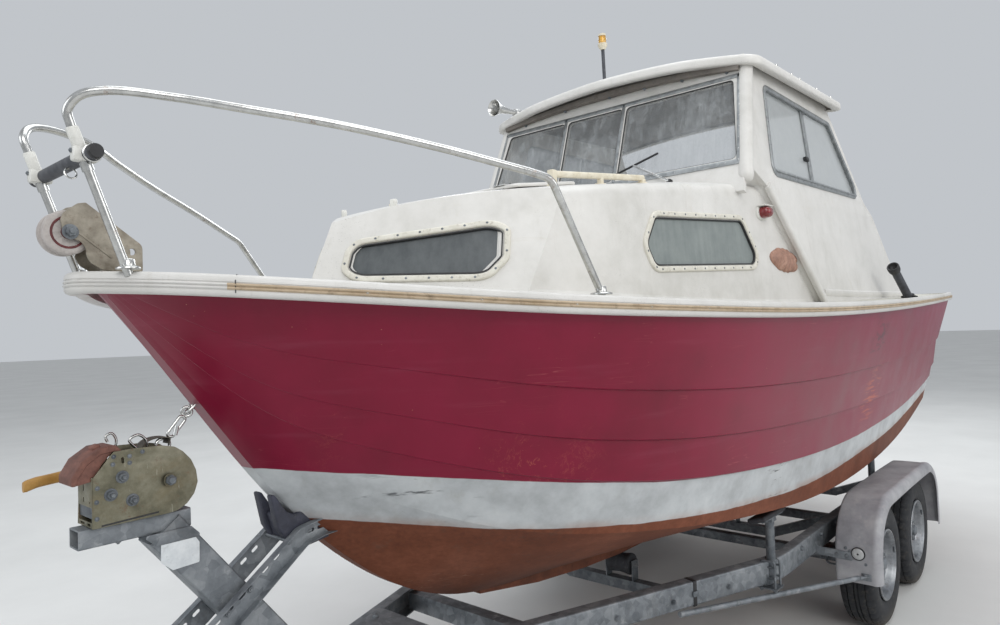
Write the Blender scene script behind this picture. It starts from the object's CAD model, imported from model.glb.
import bpy
import bmesh
import math
import random
from mathutils import Matrix, Vector
from mathutils.bvhtree import BVHTree


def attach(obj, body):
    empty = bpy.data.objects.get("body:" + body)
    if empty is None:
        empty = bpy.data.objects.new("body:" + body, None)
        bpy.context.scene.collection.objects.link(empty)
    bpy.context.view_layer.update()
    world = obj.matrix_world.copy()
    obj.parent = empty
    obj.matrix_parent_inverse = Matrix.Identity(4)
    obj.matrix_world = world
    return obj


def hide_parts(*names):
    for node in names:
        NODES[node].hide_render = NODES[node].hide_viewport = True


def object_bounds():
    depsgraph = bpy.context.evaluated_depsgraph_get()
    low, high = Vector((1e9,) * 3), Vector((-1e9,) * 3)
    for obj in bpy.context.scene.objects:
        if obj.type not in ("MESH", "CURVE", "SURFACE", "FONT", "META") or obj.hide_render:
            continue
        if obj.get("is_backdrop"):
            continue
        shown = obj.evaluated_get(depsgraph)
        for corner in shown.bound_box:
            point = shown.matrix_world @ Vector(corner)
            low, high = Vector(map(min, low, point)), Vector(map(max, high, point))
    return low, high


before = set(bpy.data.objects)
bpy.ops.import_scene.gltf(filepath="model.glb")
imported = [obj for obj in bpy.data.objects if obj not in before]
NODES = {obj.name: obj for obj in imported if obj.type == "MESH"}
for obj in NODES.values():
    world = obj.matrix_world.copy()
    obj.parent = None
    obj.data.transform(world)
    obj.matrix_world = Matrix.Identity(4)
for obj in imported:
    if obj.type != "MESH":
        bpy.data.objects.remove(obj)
CAD_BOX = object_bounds()
ROOT = "boat_on_trailer"
OX = 0.83          # the sizes below are written from the front wheel axle
rnd = random.Random(11)


def V(x, y, z):
    return Vector((x - OX, y, z))


# ---------------------------------------------------------------- shapes
# a shape is (points, faces)

class Piece:
    """collects shapes, each with its own material, into one object"""

    def __init__(self, name):
        self.name, self.v, self.f, self.m, self.s, self.mats = name, [], [], [], [], []

    def put(self, shape, mat, smooth=True):
        if mat not in self.mats:
            self.mats.append(mat)
        k, o = self.mats.index(mat), len(self.v)
        self.v += [Vector(p) for p in shape[0]]
        self.f += [tuple(i + o for i in f) for f in shape[1]]
        self.m += [k] * len(shape[1])
        self.s += [smooth] * len(shape[1])
        return self

    def both(self, shape, mat, smooth=True):
        """the shape and its mirror image on the other side of the boat"""
        self.put(shape, mat, smooth)
        return self.put(mirror_y(shape), mat, smooth)

    def done(self, body=ROOT, replaces=(), slot=None, auto=32.0, bevel=0.0, sub=0):
        me = bpy.data.meshes.new(self.name)
        me.from_pydata([tuple(p) for p in self.v], [], self.f)
        for m in self.mats:
            me.materials.append(m)
        me.polygons.foreach_set("material_index", self.m)
        me.polygons.foreach_set("use_smooth", self.s)
        me.validate()
        bm = bmesh.new()
        bm.from_mesh(me)
        bmesh.ops.recalc_face_normals(bm, faces=bm.faces)
        bm.to_mesh(me)
        bm.free()
        me.set_sharp_from_angle(angle=math.radians(auto))
        ob = bpy.data.objects.new(self.name, me)
        bpy.context.scene.collection.objects.link(ob)
        if bevel:
            b = ob.modifiers.new("edge", "BEVEL")
            b.width, b.segments, b.limit_method, b.angle_limit = bevel, 2, "ANGLE", math.radians(auto)
            b.harden_normals = True
        if sub:
            q = ob.modifiers.new("smooth", "SUBSURF")
            q.levels = q.render_levels = sub
        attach(ob, body)
        if replaces:
            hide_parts(*replaces)
        return ob


def mirror_y(shape):
    return [Vector((p[0], -p[1], p[2])) for p in shape[0]], [tuple(reversed(f)) for f in shape[1]]


def moved(shape, m):
    return [m @ Vector(p) for p in shape[0]], shape[1]


def joined(*shapes):
    v, f = [], []
    for s in shapes:
        o = len(v)
        v += list(s[0])
        f += [tuple(i + o for i in q) for q in s[1]]
    return v, f


def frame_of(d, up=(0, 0, 1)):
    d = Vector(d).normalized()
    up = Vector(up)
    if abs(d.dot(up.normalized())) > 0.99:
        up = Vector((1, 0, 0)) if abs(d.x) < 0.9 else Vector((0, 1, 0))
    a = up.cross(d).normalized()
    b = d.cross(a).normalized()
    return a, b, d


def place(origin, x_axis, y_axis, z_axis):
    m = Matrix.Identity(4)
    for k, ax in enumerate((x_axis, y_axis, z_axis)):
        for i in range(3):
            m[i][k] = ax[i]
    for i in range(3):
        m[i][3] = origin[i]
    return m


def bm_shape(bm):
    bm.verts.ensure_lookup_table()
    bm.verts.index_update()
    s = ([v.co.copy() for v in bm.verts], [tuple(v.index for v in f.verts) for f in bm.faces])
    bm.free()
    return s


def block(size, r=0.002, seg=2):
    """a box about the origin with rounded edges"""
    bm = bmesh.new()
    bmesh.ops.create_cube(bm, size=1.0)
    for v in bm.verts:
        v.co = Vector((v.co.x * size[0], v.co.y * size[1], v.co.z * size[2]))
    if r > 0:
        r = min(r, min(size) * 0.49)
        bmesh.ops.bevel(bm, geom=list(bm.edges) + list(bm.verts), offset=r, segments=seg, profile=0.5, affect="EDGES")
    return bm_shape(bm)


def box_at(lo, hi, r=0.002, seg=2):
    lo, hi = Vector(lo), Vector(hi)
    return moved(block(hi - lo, r, seg), Matrix.Translation((lo + hi) / 2))


def bar(p0, p1, w, h, up=(0, 0, 1), r=0.002, seg=2):
    """rectangular bar between two points, w across, h along up"""
    p0, p1 = Vector(p0), Vector(p1)
    a, b, d = frame_of(p1 - p0, up)
    return moved(block((w, h, (p1 - p0).length), r, seg), place((p0 + p1) / 2, a, b, d))


def lathe(profile, origin, axis, n=40, up=(0, 0, 1), arc=None):
    """profile of (radius, height along the axis), turned about the axis"""
    a, b, d = frame_of(axis, up)
    origin = Vector(origin)
    v, f, rings = [], [], []
    for r, h in profile:
        if r < 1e-6:
            rings.append([len(v)])
            v.append(origin + d * h)
        else:
            rings.append(list(range(len(v), len(v) + n)))
            for k in range(n):
                t = 2 * math.pi * k / n
                v.append(origin + d * h + a * (r * math.cos(t)) + b * (r * math.sin(t)))
    for q0, q1 in zip(rings[:-1], rings[1:]):
        if len(q0) == 1 and len(q1) == 1:
            continue
        for k in range(n):
            k2 = (k + 1) % n
            if len(q0) == 1:
                f.append((q0[0], q1[k], q1[k2]))
            elif len(q1) == 1:
                f.append((q0[k], q1[0], q0[k2]))
            else:
                f.append((q0[k], q1[k], q1[k2], q0[k2]))
    return v, f


def disc(r, t, origin, axis, n=32, e=0.001, r0=0.0):
    """a short cylinder or washer with eased edges, from the origin along the axis"""
    if r0 > 0:
        return lathe([(r0, 0), (r - e, 0), (r, e), (r, t - e), (r - e, t), (r0, t), (r0, 0)], origin, axis, n)
    return lathe([(0, 0), (r - e, 0), (r, e), (r, t - e), (r - e, t), (0, t)], origin, axis, n)


def hexnut(af, t, origin, axis, turn=0.0, up=(0, 0, 1), dome=True):
    """a hexagon head: across-flats af, thickness t"""
    a, b, d = frame_of(axis, up)
    origin = Vector(origin)
    R = af / math.sqrt(3)
    v, f = [], []
    rows = [(R, 0.0), (R, t * 0.82), (R * 0.9, t)]
    for r, h in rows:
        for k in range(6):
            q = math.radians(60 * k) + turn
            v.append(origin + d * h + a * (r * math.cos(q)) + b * (r * math.sin(q)))
    for j in range(2):
        for k in range(6):
            k2 = (k + 1) % 6
            f.append((j * 6 + k, j * 6 + k2, j * 6 + 6 + k2, j * 6 + 6 + k))
    f.append(tuple(range(12, 18)))
    s = (v, f)
    if dome:
        s = joined(s, lathe([(af * 0.27, t * 0.9), (af * 0.27, t * 1.35), (af * 0.22, t * 1.45), (0, t * 1.45)], origin, axis, 12))
    return s


def bolt(origin, axis, d=0.010, washer=True, turn=0.3):
    t = d * 0.7
    s = hexnut(d * 1.6, t, Vector(origin) + Vector(axis).normalized() * (0.0015 if washer else 0), axis, turn)
    if washer:
        s = joined(s, disc(d * 1.15, 0.0018, origin, axis, 20, 0.0004))
    return s


def dome_screw(origin, axis, r=0.004, h=0.0018, n=12):
    return lathe([(r, 0), (r * 0.92, h * 0.55), (r * 0.6, h * 0.92), (0, h)], origin, axis, n)


def tube(pts, r, n=14, closed=False, caps=True):
    """round tube along points; r is one radius or one per point"""
    pts = [Vector(p) for p in pts]
    m = len(pts)
    rr = r if isinstance(r, (list, tuple)) else [r] * m
    tang = []
    for i in range(m):
        a = pts[i - 1] if (i > 0 or closed) else pts[i]
        b = pts[(i + 1) % m] if (i < m - 1 or closed) else pts[i]
        tang.append((b - a).normalized())
    u = frame_of(tang[0])[0]
    v, f = [], []
    us = []
    for i in range(m):
        u = (u - tang[i] * u.dot(tang[i])).normalized()
        us.append(u.copy())
    if closed:
        # spread the twist of the carried frame over the loop
        last = (us[-1] - tang[0] * us[-1].dot(tang[0])).normalized()
        w0 = tang[0].cross(us[0])
        ang = math.atan2(last.dot(w0), last.dot(us[0]))
        for i in range(m):
            us[i] = Matrix.Rotation(-ang * i / m, 3, tang[i]) @ us[i]
    for i in range(m):
        w = tang[i].cross(us[i])
        for k in range(n):
            t = 2 * math.pi * k / n
            v.append(pts[i] + us[i] * (rr[i] * math.cos(t)) + w * (rr[i] * math.sin(t)))
    last = m if closed else m - 1
    for i in range(last):
        j = (i + 1) % m
        for k in range(n):
            k2 = (k + 1) % n
            f.append((i * n + k, i * n + k2, j * n + k2, j * n + k))
    if caps and not closed:
        f.append(tuple(reversed(range(n))))
        f.append(tuple(range((m - 1) * n, m * n)))
    return v, f


def fillet(pts, rad, step=9.0, closed=False):
    """a polyline whose corners are rounded; rad is one radius or one per corner"""
    pts = [Vector(p) for p in pts]
    m = len(pts)
    out = []
    for i in range(m):
        if not closed and i in (0, m - 1):
            out.append(pts[i])
            continue
        p, a, b = pts[i], pts[i - 1], pts[(i + 1) % m]
        r = rad[i] if isinstance(rad, (list, tuple)) else rad
        u, w = (a - p), (b - p)
        lu, lw = u.length, w.length
        u.normalize()
        w.normalize()
        ang = u.angle(w)
        if r <= 0 or ang > math.radians(178):
            out.append(p)
            continue
        t = min(r / math.tan(ang / 2), lu * 0.49, lw * 0.49)
        r = t * math.tan(ang / 2)
        c = p + (u + w).normalized() * (r / math.sin(ang / 2))
        s, e = p + u * t - c, p + w * t - c
        turn = math.pi - ang
        k = max(2, int(math.ceil(math.degrees(turn) / step)))
        nrm = s.cross(e).normalized()
        for j in range(k + 1):
            out.append(c + Matrix.Rotation(turn * j / k, 3, nrm) @ s)
    return out


def dense(pts, step, closed=False):
    """adds points so that no run is longer than step"""
    out = []
    m = len(pts)
    for i in range(m if closed else m - 1):
        a, b = Vector(pts[i]), Vector(pts[(i + 1) % m])
        k = max(1, int(math.ceil((b - a).length / step)))
        out += [a.lerp(b, j / k) for j in range(k)]
    if not closed:
        out.append(Vector(pts[-1]))
    return out


def strip(path, profile, side, up, closed=False, profile_closed=True, caps=True):
    """sweeps a profile of (across, up) along a path; side and up give the two
    directions at each path point, as vectors or one function of the index"""
    m, n = len(path), len(profile)
    v, f = [], []
    for i in range(m):
        s = side(i) if callable(side) else Vector(side)
        u = up(i) if callable(up) else Vector(up)
        for a, b in profile:
            v.append(Vector(path[i]) + s * a + u * b)
    last = m if closed else m - 1
    pn = n if profile_closed else n - 1
    for i in range(last):
        j = (i + 1) % m
        for k in range(pn):
            k2 = (k + 1) % n
            f.append((i * n + k, i * n + k2, j * n + k2, j * n + k))
    if caps and profile_closed and not closed:
        f.append(tuple(reversed(range(n))))
        f.append(tuple(range((m - 1) * n, m * n)))
    return v, f


def sheet_plate(loops, thick, to3d, bevel=0.0, res=2):
    """flat plate with holes: loops of 2-D points, the outline first; to3d takes
    (u, v, w) with w from 0 to thick"""
    cu = bpy.data.curves.new("tmp_plate", "CURVE")
    cu.dimensions, cu.fill_mode = "2D", "BOTH"
    cu.extrude = max(thick / 2 - bevel, 1e-5)
    cu.bevel_depth, cu.bevel_resolution = bevel, res
    cu.offset = -bevel
    for lp in loops:
        sp = cu.splines.new("POLY")
        sp.points.add(len(lp) - 1)
        for k, q in enumerate(lp):
            sp.points[k].co = (q[0], q[1], 0, 1)
        sp.use_cyclic_u = True
    ob = bpy.data.objects.new("tmp_plate", cu)
    me = bpy.data.meshes.new_from_object(ob)
    v = [to3d(p.co.x, p.co.y, p.co.z + thick / 2) for p in me.vertices]
    f = [tuple(p.vertices) for p in me.polygons]
    bpy.data.objects.remove(ob)
    bpy.data.curves.remove(cu)
    bpy.data.meshes.remove(me)
    bm = bmesh.new()
    vs = [bm.verts.new(p) for p in v]
    for q in f:
        if len(set(q)) == len(q):
            try:
                bm.faces.new([vs[i] for i in q])
            except ValueError:
                pass
    bmesh.ops.remove_doubles(bm, verts=bm.verts, dist=1e-5)
    return bm_shape(bm)


def circle2(cx, cy, r, n=24):
    return [(cx + r * math.cos(2 * math.pi * k / n), cy + r * math.sin(2 * math.pi * k / n)) for k in range(n)]


def slot2(cx, cy, l, w, ang=0.0, n=8):
    """rounded slot, l long overall and w wide, turned by ang"""
    pts = []
    h = l / 2 - w / 2
    for k in range(n + 1):
        t = -math.pi / 2 + math.pi * k / n
        pts.append((h + w / 2 * math.cos(t), w / 2 * math.sin(t)))
    for k in range(n + 1):
        t = math.pi / 2 + math.pi * k / n
        pts.append((-h + w / 2 * math.cos(t), w / 2 * math.sin(t)))
    ca, sa = math.cos(ang), math.sin(ang)
    return [(cx + ca * a - sa * b, cy + sa * a + ca * b) for a, b in pts]


def round2(pts, rad, step=10.0):
    """2-D closed outline with rounded corners"""
    return [(p.x, p.y) for p in fillet([Vector((a, b, 0)) for a, b in pts], rad, step, closed=True)]


def xz(y, side=1.0, ox=0.0, oz=0.0):
    """places a plate drawn in x-z at y, its thickness growing away from the middle"""
    return lambda a, b, w: V(a + ox, y + side * w, b + oz)


def grid(nu, nv, fn, wrap_u=False, wrap_v=False):
    v, f = [], []
    for i in range(nu):
        for j in range(nv):
            v.append(Vector(fn(i, j)))
    for i in range(nu if wrap_u else nu - 1):
        for j in range(nv if wrap_v else nv - 1):
            i2, j2 = (i + 1) % nu, (j + 1) % nv
            f.append((i * nv + j, i2 * nv + j, i2 * nv + j2, i * nv + j2))
    return v, f


def torus(origin, axis, R, r, n=40, m=12, up=(0, 0, 1)):
    a, b, d = frame_of(axis, up)
    origin = Vector(origin)
    pts = [origin + a * (R * math.cos(2 * math.pi * k / n)) + b * (R * math.sin(2 * math.pi * k / n)) for k in range(n)]
    return tube(pts, r, m, closed=True)


def spline(ts, ys):
    """natural cubic through (t, y), returned as a function"""
    n = len(ts)
    h = [ts[i + 1] - ts[i] for i in range(n - 1)]
    al = [0.0] + [3 * (ys[i + 1] - ys[i]) / h[i] - 3 * (ys[i] - ys[i - 1]) / h[i - 1] for i in range(1, n - 1)] + [0.0]
    l, mu, z = [1.0] * n, [0.0] * n, [0.0] * n
    for i in range(1, n - 1):
        l[i] = 2 * (ts[i + 1] - ts[i - 1]) - h[i - 1] * mu[i - 1]
        mu[i] = h[i] / l[i]
        z[i] = (al[i] - h[i - 1] * z[i - 1]) / l[i]
    c, b, d = [0.0] * n, [0.0] * n, [0.0] * n
    for j in range(n - 2, -1, -1):
        c[j] = z[j] - mu[j] * c[j + 1]
        b[j] = (ys[j + 1] - ys[j]) / h[j] - h[j] * (c[j + 1] + 2 * c[j]) / 3
        d[j] = (c[j + 1] - c[j]) / (3 * h[j])

    def at(t):
        j = 0
        while j < n - 2 and t > ts[j + 1]:
            j += 1
        u = t - ts[j]
        return ys[j] + b[j] * u + c[j] * u * u + d[j] * u ** 3
    return at


_trees = {}


def hit(node, origin, direction):
    """where a ray first meets a CAD node, and the surface normal there"""
    if node not in _trees:
        me = NODES[node].data
        _trees[node] = BVHTree.FromPolygons([v.co.copy() for v in me.vertices], [tuple(p.vertices) for p in me.polygons])
    loc, nrm, idx, dist = _trees[node].ray_cast(Vector(origin), Vector(direction))
    return loc, nrm


# ================================================================ materials
def lin(r, g, b):
    def f(c):
        c /= 255.0
        return c / 12.92 if c <= 0.04045 else ((c + 0.055) / 1.055) ** 2.4
    return (f(r), f(g), f(b), 1.0)


class Mat:
    """a node material built in short steps"""

    def __init__(self, name, rough=0.5, metal=0.0, **k):
        self.m = bpy.data.materials.new(name)
        self.m.use_nodes = True
        self.t = self.m.node_tree
        self.t.nodes.clear()
        self.o = self.t.nodes.new("ShaderNodeOutputMaterial")
        self.b = self.t.nodes.new("ShaderNodeBsdfPrincipled")
        self.t.links.new(self.b.outputs[0], self.o.inputs[0])
        self.b.inputs["Roughness"].default_value = rough
        self.b.inputs["Metallic"].default_value = metal
        for key, val in k.items():
            self.b.inputs[key.replace("_", " ")].default_value = val
        tc = self.t.nodes.new("ShaderNodeTexCoord")
        self.co = tc.outputs["Object"]
        sep = self.t.nodes.new("ShaderNodeSeparateXYZ")
        self.t.links.new(self.co, sep.inputs[0])
        self.x, self.y, self.z = sep.outputs

    def inp(self, socket, value):
        if isinstance(value, (int, float)):
            socket.default_value = value
        elif isinstance(value, (tuple, list)):
            socket.default_value = value if len(value) == len(socket.default_value) else value[:len(socket.default_value)]
        else:
            self.t.links.new(value, socket)

    def math(self, op, a, b=0.0, c=0.0, clamp=False):
        n = self.t.nodes.new("ShaderNodeMath")
        n.operation, n.use_clamp = op, clamp
        self.inp(n.inputs[0], a)
        self.inp(n.inputs[1], b)
        if op in ("MULTIPLY_ADD", "SMOOTH_MIN", "SMOOTH_MAX"):
            self.inp(n.inputs[2], c)
        return n.outputs[0]

    def add(self, a, b):
        return self.math("ADD", a, b)

    def sub(self, a, b):
        return self.math("SUBTRACT", a, b)

    def mul(self, a, b):
        return self.math("MULTIPLY", a, b)

    def most(self, a, b):
        return self.math("MAXIMUM", a, b)

    def stretch(self, sx, sy, sz, ox=0.0, oy=0.0, oz=0.0, rot=None):
        n = self.t.nodes.new("ShaderNodeMapping")
        self.t.links.new(self.co, n.inputs[0])
        n.inputs["Scale"].default_value = (sx, sy, sz)
        n.inputs["Location"].default_value = (ox, oy, oz)
        if rot:
            n.inputs["Rotation"].default_value = rot
        return n.outputs[0]

    def noise(self, scale, detail=3.0, rough=0.5, vec=None, dist=0.0):
        n = self.t.nodes.new("ShaderNodeTexNoise")
        self.t.links.new(vec if vec is not None else self.co, n.inputs["Vector"])
        n.inputs["Scale"].default_value = scale
        n.inputs["Detail"].default_value = detail
        n.inputs["Roughness"].default_value = rough
        n.inputs["Distortion"].default_value = dist
        return n.outputs["Fac"]

    def cells(self, scale, feature="F1", vec=None, out="Distance", rand=1.0):
        n = self.t.nodes.new("ShaderNodeTexVoronoi")
        n.feature = feature
        self.t.links.new(vec if vec is not None else self.co, n.inputs["Vector"])
        n.inputs["Scale"].default_value = scale
        n.inputs["Randomness"].default_value = rand
        return n.outputs[out]

    def wave(self, scale, direction="X", vec=None, dist=0.0, detail=2.0, kind="BANDS", profile="SIN", dscale=1.0):
        n = self.t.nodes.new("ShaderNodeTexWave")
        n.wave_type, n.wave_profile = kind, profile
        if kind == "BANDS":
            n.bands_direction = direction
        else:
            n.rings_direction = direction
        self.t.links.new(vec if vec is not None else self.co, n.inputs["Vector"])
        n.inputs["Scale"].default_value = scale
        n.inputs["Distortion"].default_value = dist
        n.inputs["Detail"].default_value = detail
        n.inputs["Detail Scale"].default_value = dscale
        return n.outputs["Fac"]

    def range(self, v, a, b, c=0.0, d=1.0, smooth=True):
        n = self.t.nodes.new("ShaderNodeMapRange")
        n.interpolation_type = "SMOOTHSTEP" if smooth else "LINEAR"
        n.clamp = True
        self.inp(n.inputs[0], v)
        for i, q in enumerate((a, b, c, d)):
            self.inp(n.inputs[1 + i], q)
        return n.outputs[0]

    def curve(self, v, pts, x0, x1, y0, y1):
        """a smooth function given by points (x, y)"""
        t = self.range(v, x0, x1, 0.0, 1.0, smooth=False)
        n = self.t.nodes.new("ShaderNodeFloatCurve")
        self.t.links.new(t, n.inputs["Value"])
        cm = n.mapping.curves[0]
        q = [((x - x0) / (x1 - x0), (y - y0) / (y1 - y0)) for x, y in sorted(pts)]
        cm.points[0].location = q[0]
        cm.points[1].location = q[-1]
        for a in q[1:-1]:
            cm.points.new(*a)
        n.mapping.use_clip = False
        n.mapping.update()
        return self.range(n.outputs[0], 0.0, 1.0, y0, y1, smooth=False)

    def ramp(self, v, stops, mode="LINEAR"):
        n = self.t.nodes.new("ShaderNodeValToRGB")
        n.color_ramp.interpolation = mode
        self.inp(n.inputs[0], v)
        e = n.color_ramp.elements
        while len(e) < len(stops):
            e.new(0.5)
        for k, (p, col) in enumerate(sorted(stops, key=lambda s: s[0])):
            e[k].position, e[k].color = p, col
        return n.outputs[0]

    def mix(self, f, a, b, mode="MIX"):
        n = self.t.nodes.new("ShaderNodeMix")
        n.data_type, n.blend_type = "RGBA", mode
        self.inp(n.inputs[0], f)
        self.inp(n.inputs[6], a)
        self.inp(n.inputs[7], b)
        return n.outputs[2]

    def fmix(self, f, a, b):
        n = self.t.nodes.new("ShaderNodeMix")
        n.data_type = "FLOAT"
        self.inp(n.inputs[0], f)
        self.inp(n.inputs[2], a)
        self.inp(n.inputs[3], b)
        return n.outputs[0]

    def near(self, centre, radius, soft=0.5):
        """1 at a point, falling to 0 at radius"""
        n = self.t.nodes.new("ShaderNodeVectorMath")
        n.operation = "DISTANCE"
        self.t.links.new(self.co, n.inputs[0])
        n.inputs[1].default_value = tuple(centre)
        return self.range(n.outputs["Value"], radius * soft, radius, 1.0, 0.0)

    def bump(self, h, strength=0.3, dist=0.002, prev=None):
        n = self.t.nodes.new("ShaderNodeBump")
        n.inputs["Strength"].default_value = strength
        n.inputs["Distance"].default_value = dist
        self.inp(n.inputs["Height"], h)
        if prev is not None:
            self.t.links.new(prev, n.inputs["Normal"])
        return n.outputs[0]

    def normal(self):
        g = self.t.nodes.new("ShaderNodeNewGeometry")
        s = self.t.nodes.new("ShaderNodeSeparateXYZ")
        self.t.links.new(g.outputs["True Normal"], s.inputs[0])
        return s.outputs

    def set(self, base=None, rough=None, metal=None, bump=None, alpha=None):
        for key, val in (("Base Color", base), ("Roughness", rough), ("Metallic", metal), ("Normal", bump), ("Alpha", alpha)):
            if val is not None:
                self.inp(self.b.inputs[key], val)
        return self.m


# paint lines on the hull, as (x, z)
RED_LINE = [(2.87, 1.168), (2.47, 1.113), (2.14, 1.066), (1.72, 1.017), (1.32, 0.990), (0.59, 0.961), (-0.36, 0.970), (-1.59, 1.010), (-2.44, 1.085)]
RUST_LINE = [(2.75, 1.000), (2.51, 0.958), (2.27, 0.925), (1.94, 0.896), (1.68, 0.876), (1.20, 0.846), (0.72, 0.828), (-0.09, 0.848), (-1.07, 0.884), (-2.44, 0.975)]


def make_hull():
    m = Mat("hull_paint", rough=0.36, Coat_Weight=0.06, Coat_Roughness=0.18, Specular_IOR_Level=0.3)
    wob = m.mul(m.sub(m.noise(9.0, 3.0), 0.5), 0.006)
    zr = m.curve(m.x, [(x - OX, z) for x, z in RED_LINE], -3.28, 2.05, 0.9, 1.2)
    zf = m.curve(m.x, [(x - OX, z) for x, z in RUST_LINE], -3.28, 1.93, 0.8, 1.1)
    zw = m.add(m.z, wob)
    is_red = m.range(m.sub(zw, zr), -0.0015, 0.0015, 0.0, 1.0)
    is_rust = m.range(m.sub(m.add(m.z, m.mul(wob, 1.6)), zf), -0.002, 0.002, 1.0, 0.0)

    big = m.noise(1.1, 4.0, 0.6)
    mid = m.noise(5.0, 5.0, 0.6)
    fine = m.noise(60.0, 3.0, 0.6)
    streak = m.noise(1.0, 5.0, 0.65, vec=m.stretch(14.0, 14.0, 1.3))
    run = m.noise(1.0, 3.0, 0.6, vec=m.stretch(2.0, 2.0, 26.0))
    aft = m.range(m.x, 1.6, -2.6, 0.0, 1.0)
    red = m.ramp(m.add(m.mul(big, 0.6), m.mul(mid, 0.4)), [(0.30, lin(103, 3, 34)), (0.50, lin(121, 6, 44)), (0.72, lin(133, 11, 53))])
    faded = m.ramp(m.add(m.mul(streak, 0.6), m.mul(mid, 0.4)), [(0.3, lin(128, 26, 62)), (0.7, lin(152, 62, 96))])
    up = m.range(m.sub(m.z, 1.25), 0.0, 0.38, 0.15, 0.75)
    fade = m.mul(m.mul(aft, up), m.range(streak, 0.30, 0.70, 0.35, 1.0))
    red = m.mix(fade, red, faded)
    # dull bloom in soft level bands, and rain streaks
    red = m.mix(m.range(run, 0.55, 0.80, 0.0, 0.16), red, lin(146, 76, 96))
    red = m.mix(m.range(m.noise(1.0, 6.0, 0.7, vec=m.stretch(30.0, 30.0, 2.2)), 0.60, 0.78, 0.0, 0.14), red, lin(70, 16, 30))
    # small chips and specks
    chips = m.range(m.cells(55.0), 0.05, 0.085, 1.0, 0.0)
    chips = m.mul(chips, m.range(m.noise(7.0, 2.0), 0.60, 0.68, 0.0, 1.0))
    red = m.mix(m.mul(chips, 0.7), red, lin(196, 150, 120))
    # long hair scratches, denser by the bow and above the boot-top
    sc1 = m.range(m.math("ABSOLUTE", m.sub(m.noise(1.0, 2.0, 0.5, vec=m.stretch(2.2, 2.2, 34.0, rot=(0, 0.12, 0))), 0.5)), 0.0, 0.0045, 1.0, 0.0)
    sc1 = m.mul(sc1, m.range(m.noise(3.2, 3.0), 0.56, 0.66, 0.0, 0.55))
    red = m.mix(m.mul(sc1, 0.6), red, lin(176, 96, 96))
    worn = m.most(m.near((1.43, 0.52, 1.16), 0.30, 0.2), m.near((1.90, 0.16, 1.33), 0.22, 0.2))
    sc2 = m.range(m.math("ABSOLUTE", m.sub(m.noise(9.0, 5.0, 0.75, dist=1.2), 0.5)), 0.0, 0.016, 1.0, 0.0)
    sc2 = m.mul(sc2, m.mul(worn, m.range(m.noise(11.0, 3.0), 0.46, 0.56, 0.0, 1.0)))
    red = m.mix(m.mul(sc2, 0.45), red, lin(176, 96, 76))
    # the dark rub and the orange scrape on the aft quarter
    rub = m.mul(m.near((-0.62, 1.03, 1.44), 0.20, 0.1), m.range(m.noise(1.0, 4.0, 0.7, vec=m.stretch(8.0, 8.0, 30.0)), 0.5, 0.62, 0.0, 0.75))
    red = m.mix(rub, red, lin(60, 26, 38))
    scr = m.mul(m.near((-0.80, 0.955, 1.15), 0.22, 0.15), m.range(m.noise(1.0, 3.0, 0.6, vec=m.stretch(5.0, 5.0, 60.0)), 0.52, 0.58, 0.0, 1.0))
    red = m.mix(m.mul(scr, 0.55), red, lin(196, 92, 48))

    white = m.ramp(m.noise(6.0, 6.0, 0.65), [(0.32, lin(160, 163, 165)), (0.55, lin(186, 190, 192)), (0.75, lin(202, 205, 206))])
    white = m.mix(m.range(streak, 0.52, 0.75, 0.0, 0.30), white, lin(150, 148, 140))
    low = m.mul(m.range(m.sub(m.z, zf), 0.0, 0.035, 0.55, 0.0), m.range(mid, 0.35, 0.7, 0.2, 1.0))
    white = m.mix(low, white, lin(150, 110, 88))
    sm = m.range(m.noise(1.0, 5.0, 0.75, vec=m.stretch(2.5, 2.5, 22.0)), 0.60, 0.66, 0.0, 1.0)
    black = m.mul(sm, m.most(m.near((0.36, 0.86, 0.885), 0.26, 0.3), m.near((1.70, 0.30, 1.03), 0.24, 0.3)))
    white = m.mix(m.mul(black, 0.85), white, lin(48, 50, 54))
    white = m.mix(m.mul(m.range(m.cells(70.0), 0.04, 0.07, 1.0, 0.0), m.range(m.noise(9.0), 0.58, 0.66, 0.0, 0.7)), white, lin(104, 84, 70))

    rust = m.ramp(m.add(m.mul(m.noise(3.0, 6.0, 0.7), 0.7), m.mul(fine, 0.3)), [(0.30, lin(84, 44, 28)), (0.50, lin(110, 62, 42)), (0.72, lin(138, 84, 62))])
    rust = m.mix(m.range(m.noise(13.0, 5.0, 0.7), 0.55, 0.75, 0.0, 0.45), rust, lin(96, 72, 60))
    rust = m.mix(m.range(m.z, 0.72, 0.50, 0.0, 0.30), rust, lin(74, 52, 42))
    rust = m.mix(m.mul(sc1, 0.6), rust, lin(160, 122, 100))

    col = m.mix(is_red, white, red)
    col = m.mix(is_rust, col, rust)
    nx, ny, nz = m.normal()
    side = m.mul(ny, m.math("SIGN", m.y))
    inner = m.most(m.range(side, -0.06, -0.02, 1.0, 0.0), m.range(nz, 0.35, 0.45, 0.0, 1.0))
    inner = m.most(inner, m.mul(m.range(nx, 0.55, 0.6, 0.0, 1.0), m.range(m.x, -2.9, -3.0, 0.0, 1.0)))
    inside = m.ramp(m.noise(8.0, 5.0), [(0.3, lin(176, 174, 166)), (0.7, lin(206, 205, 198))])
    col = m.mix(inner, col, inside)
    rough = m.fmix(is_rust, m.add(0.24, m.mul(mid, 0.22)), m.add(0.72, m.mul(fine, 0.2)))
    rough = m.add(rough, m.mul(fade, 0.10))
    rough = m.fmix(inner, rough, 0.6)
    h = m.add(m.mul(m.noise(2.2, 2.0), 1.0), m.mul(m.mul(fine, is_rust), 0.10))
    bump = m.bump(h, 0.25, 0.006)
    bump = m.bump(m.noise(180.0, 2.0), 0.04, 0.001, bump)
    return m.set(base=col, rough=rough, bump=bump)


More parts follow.
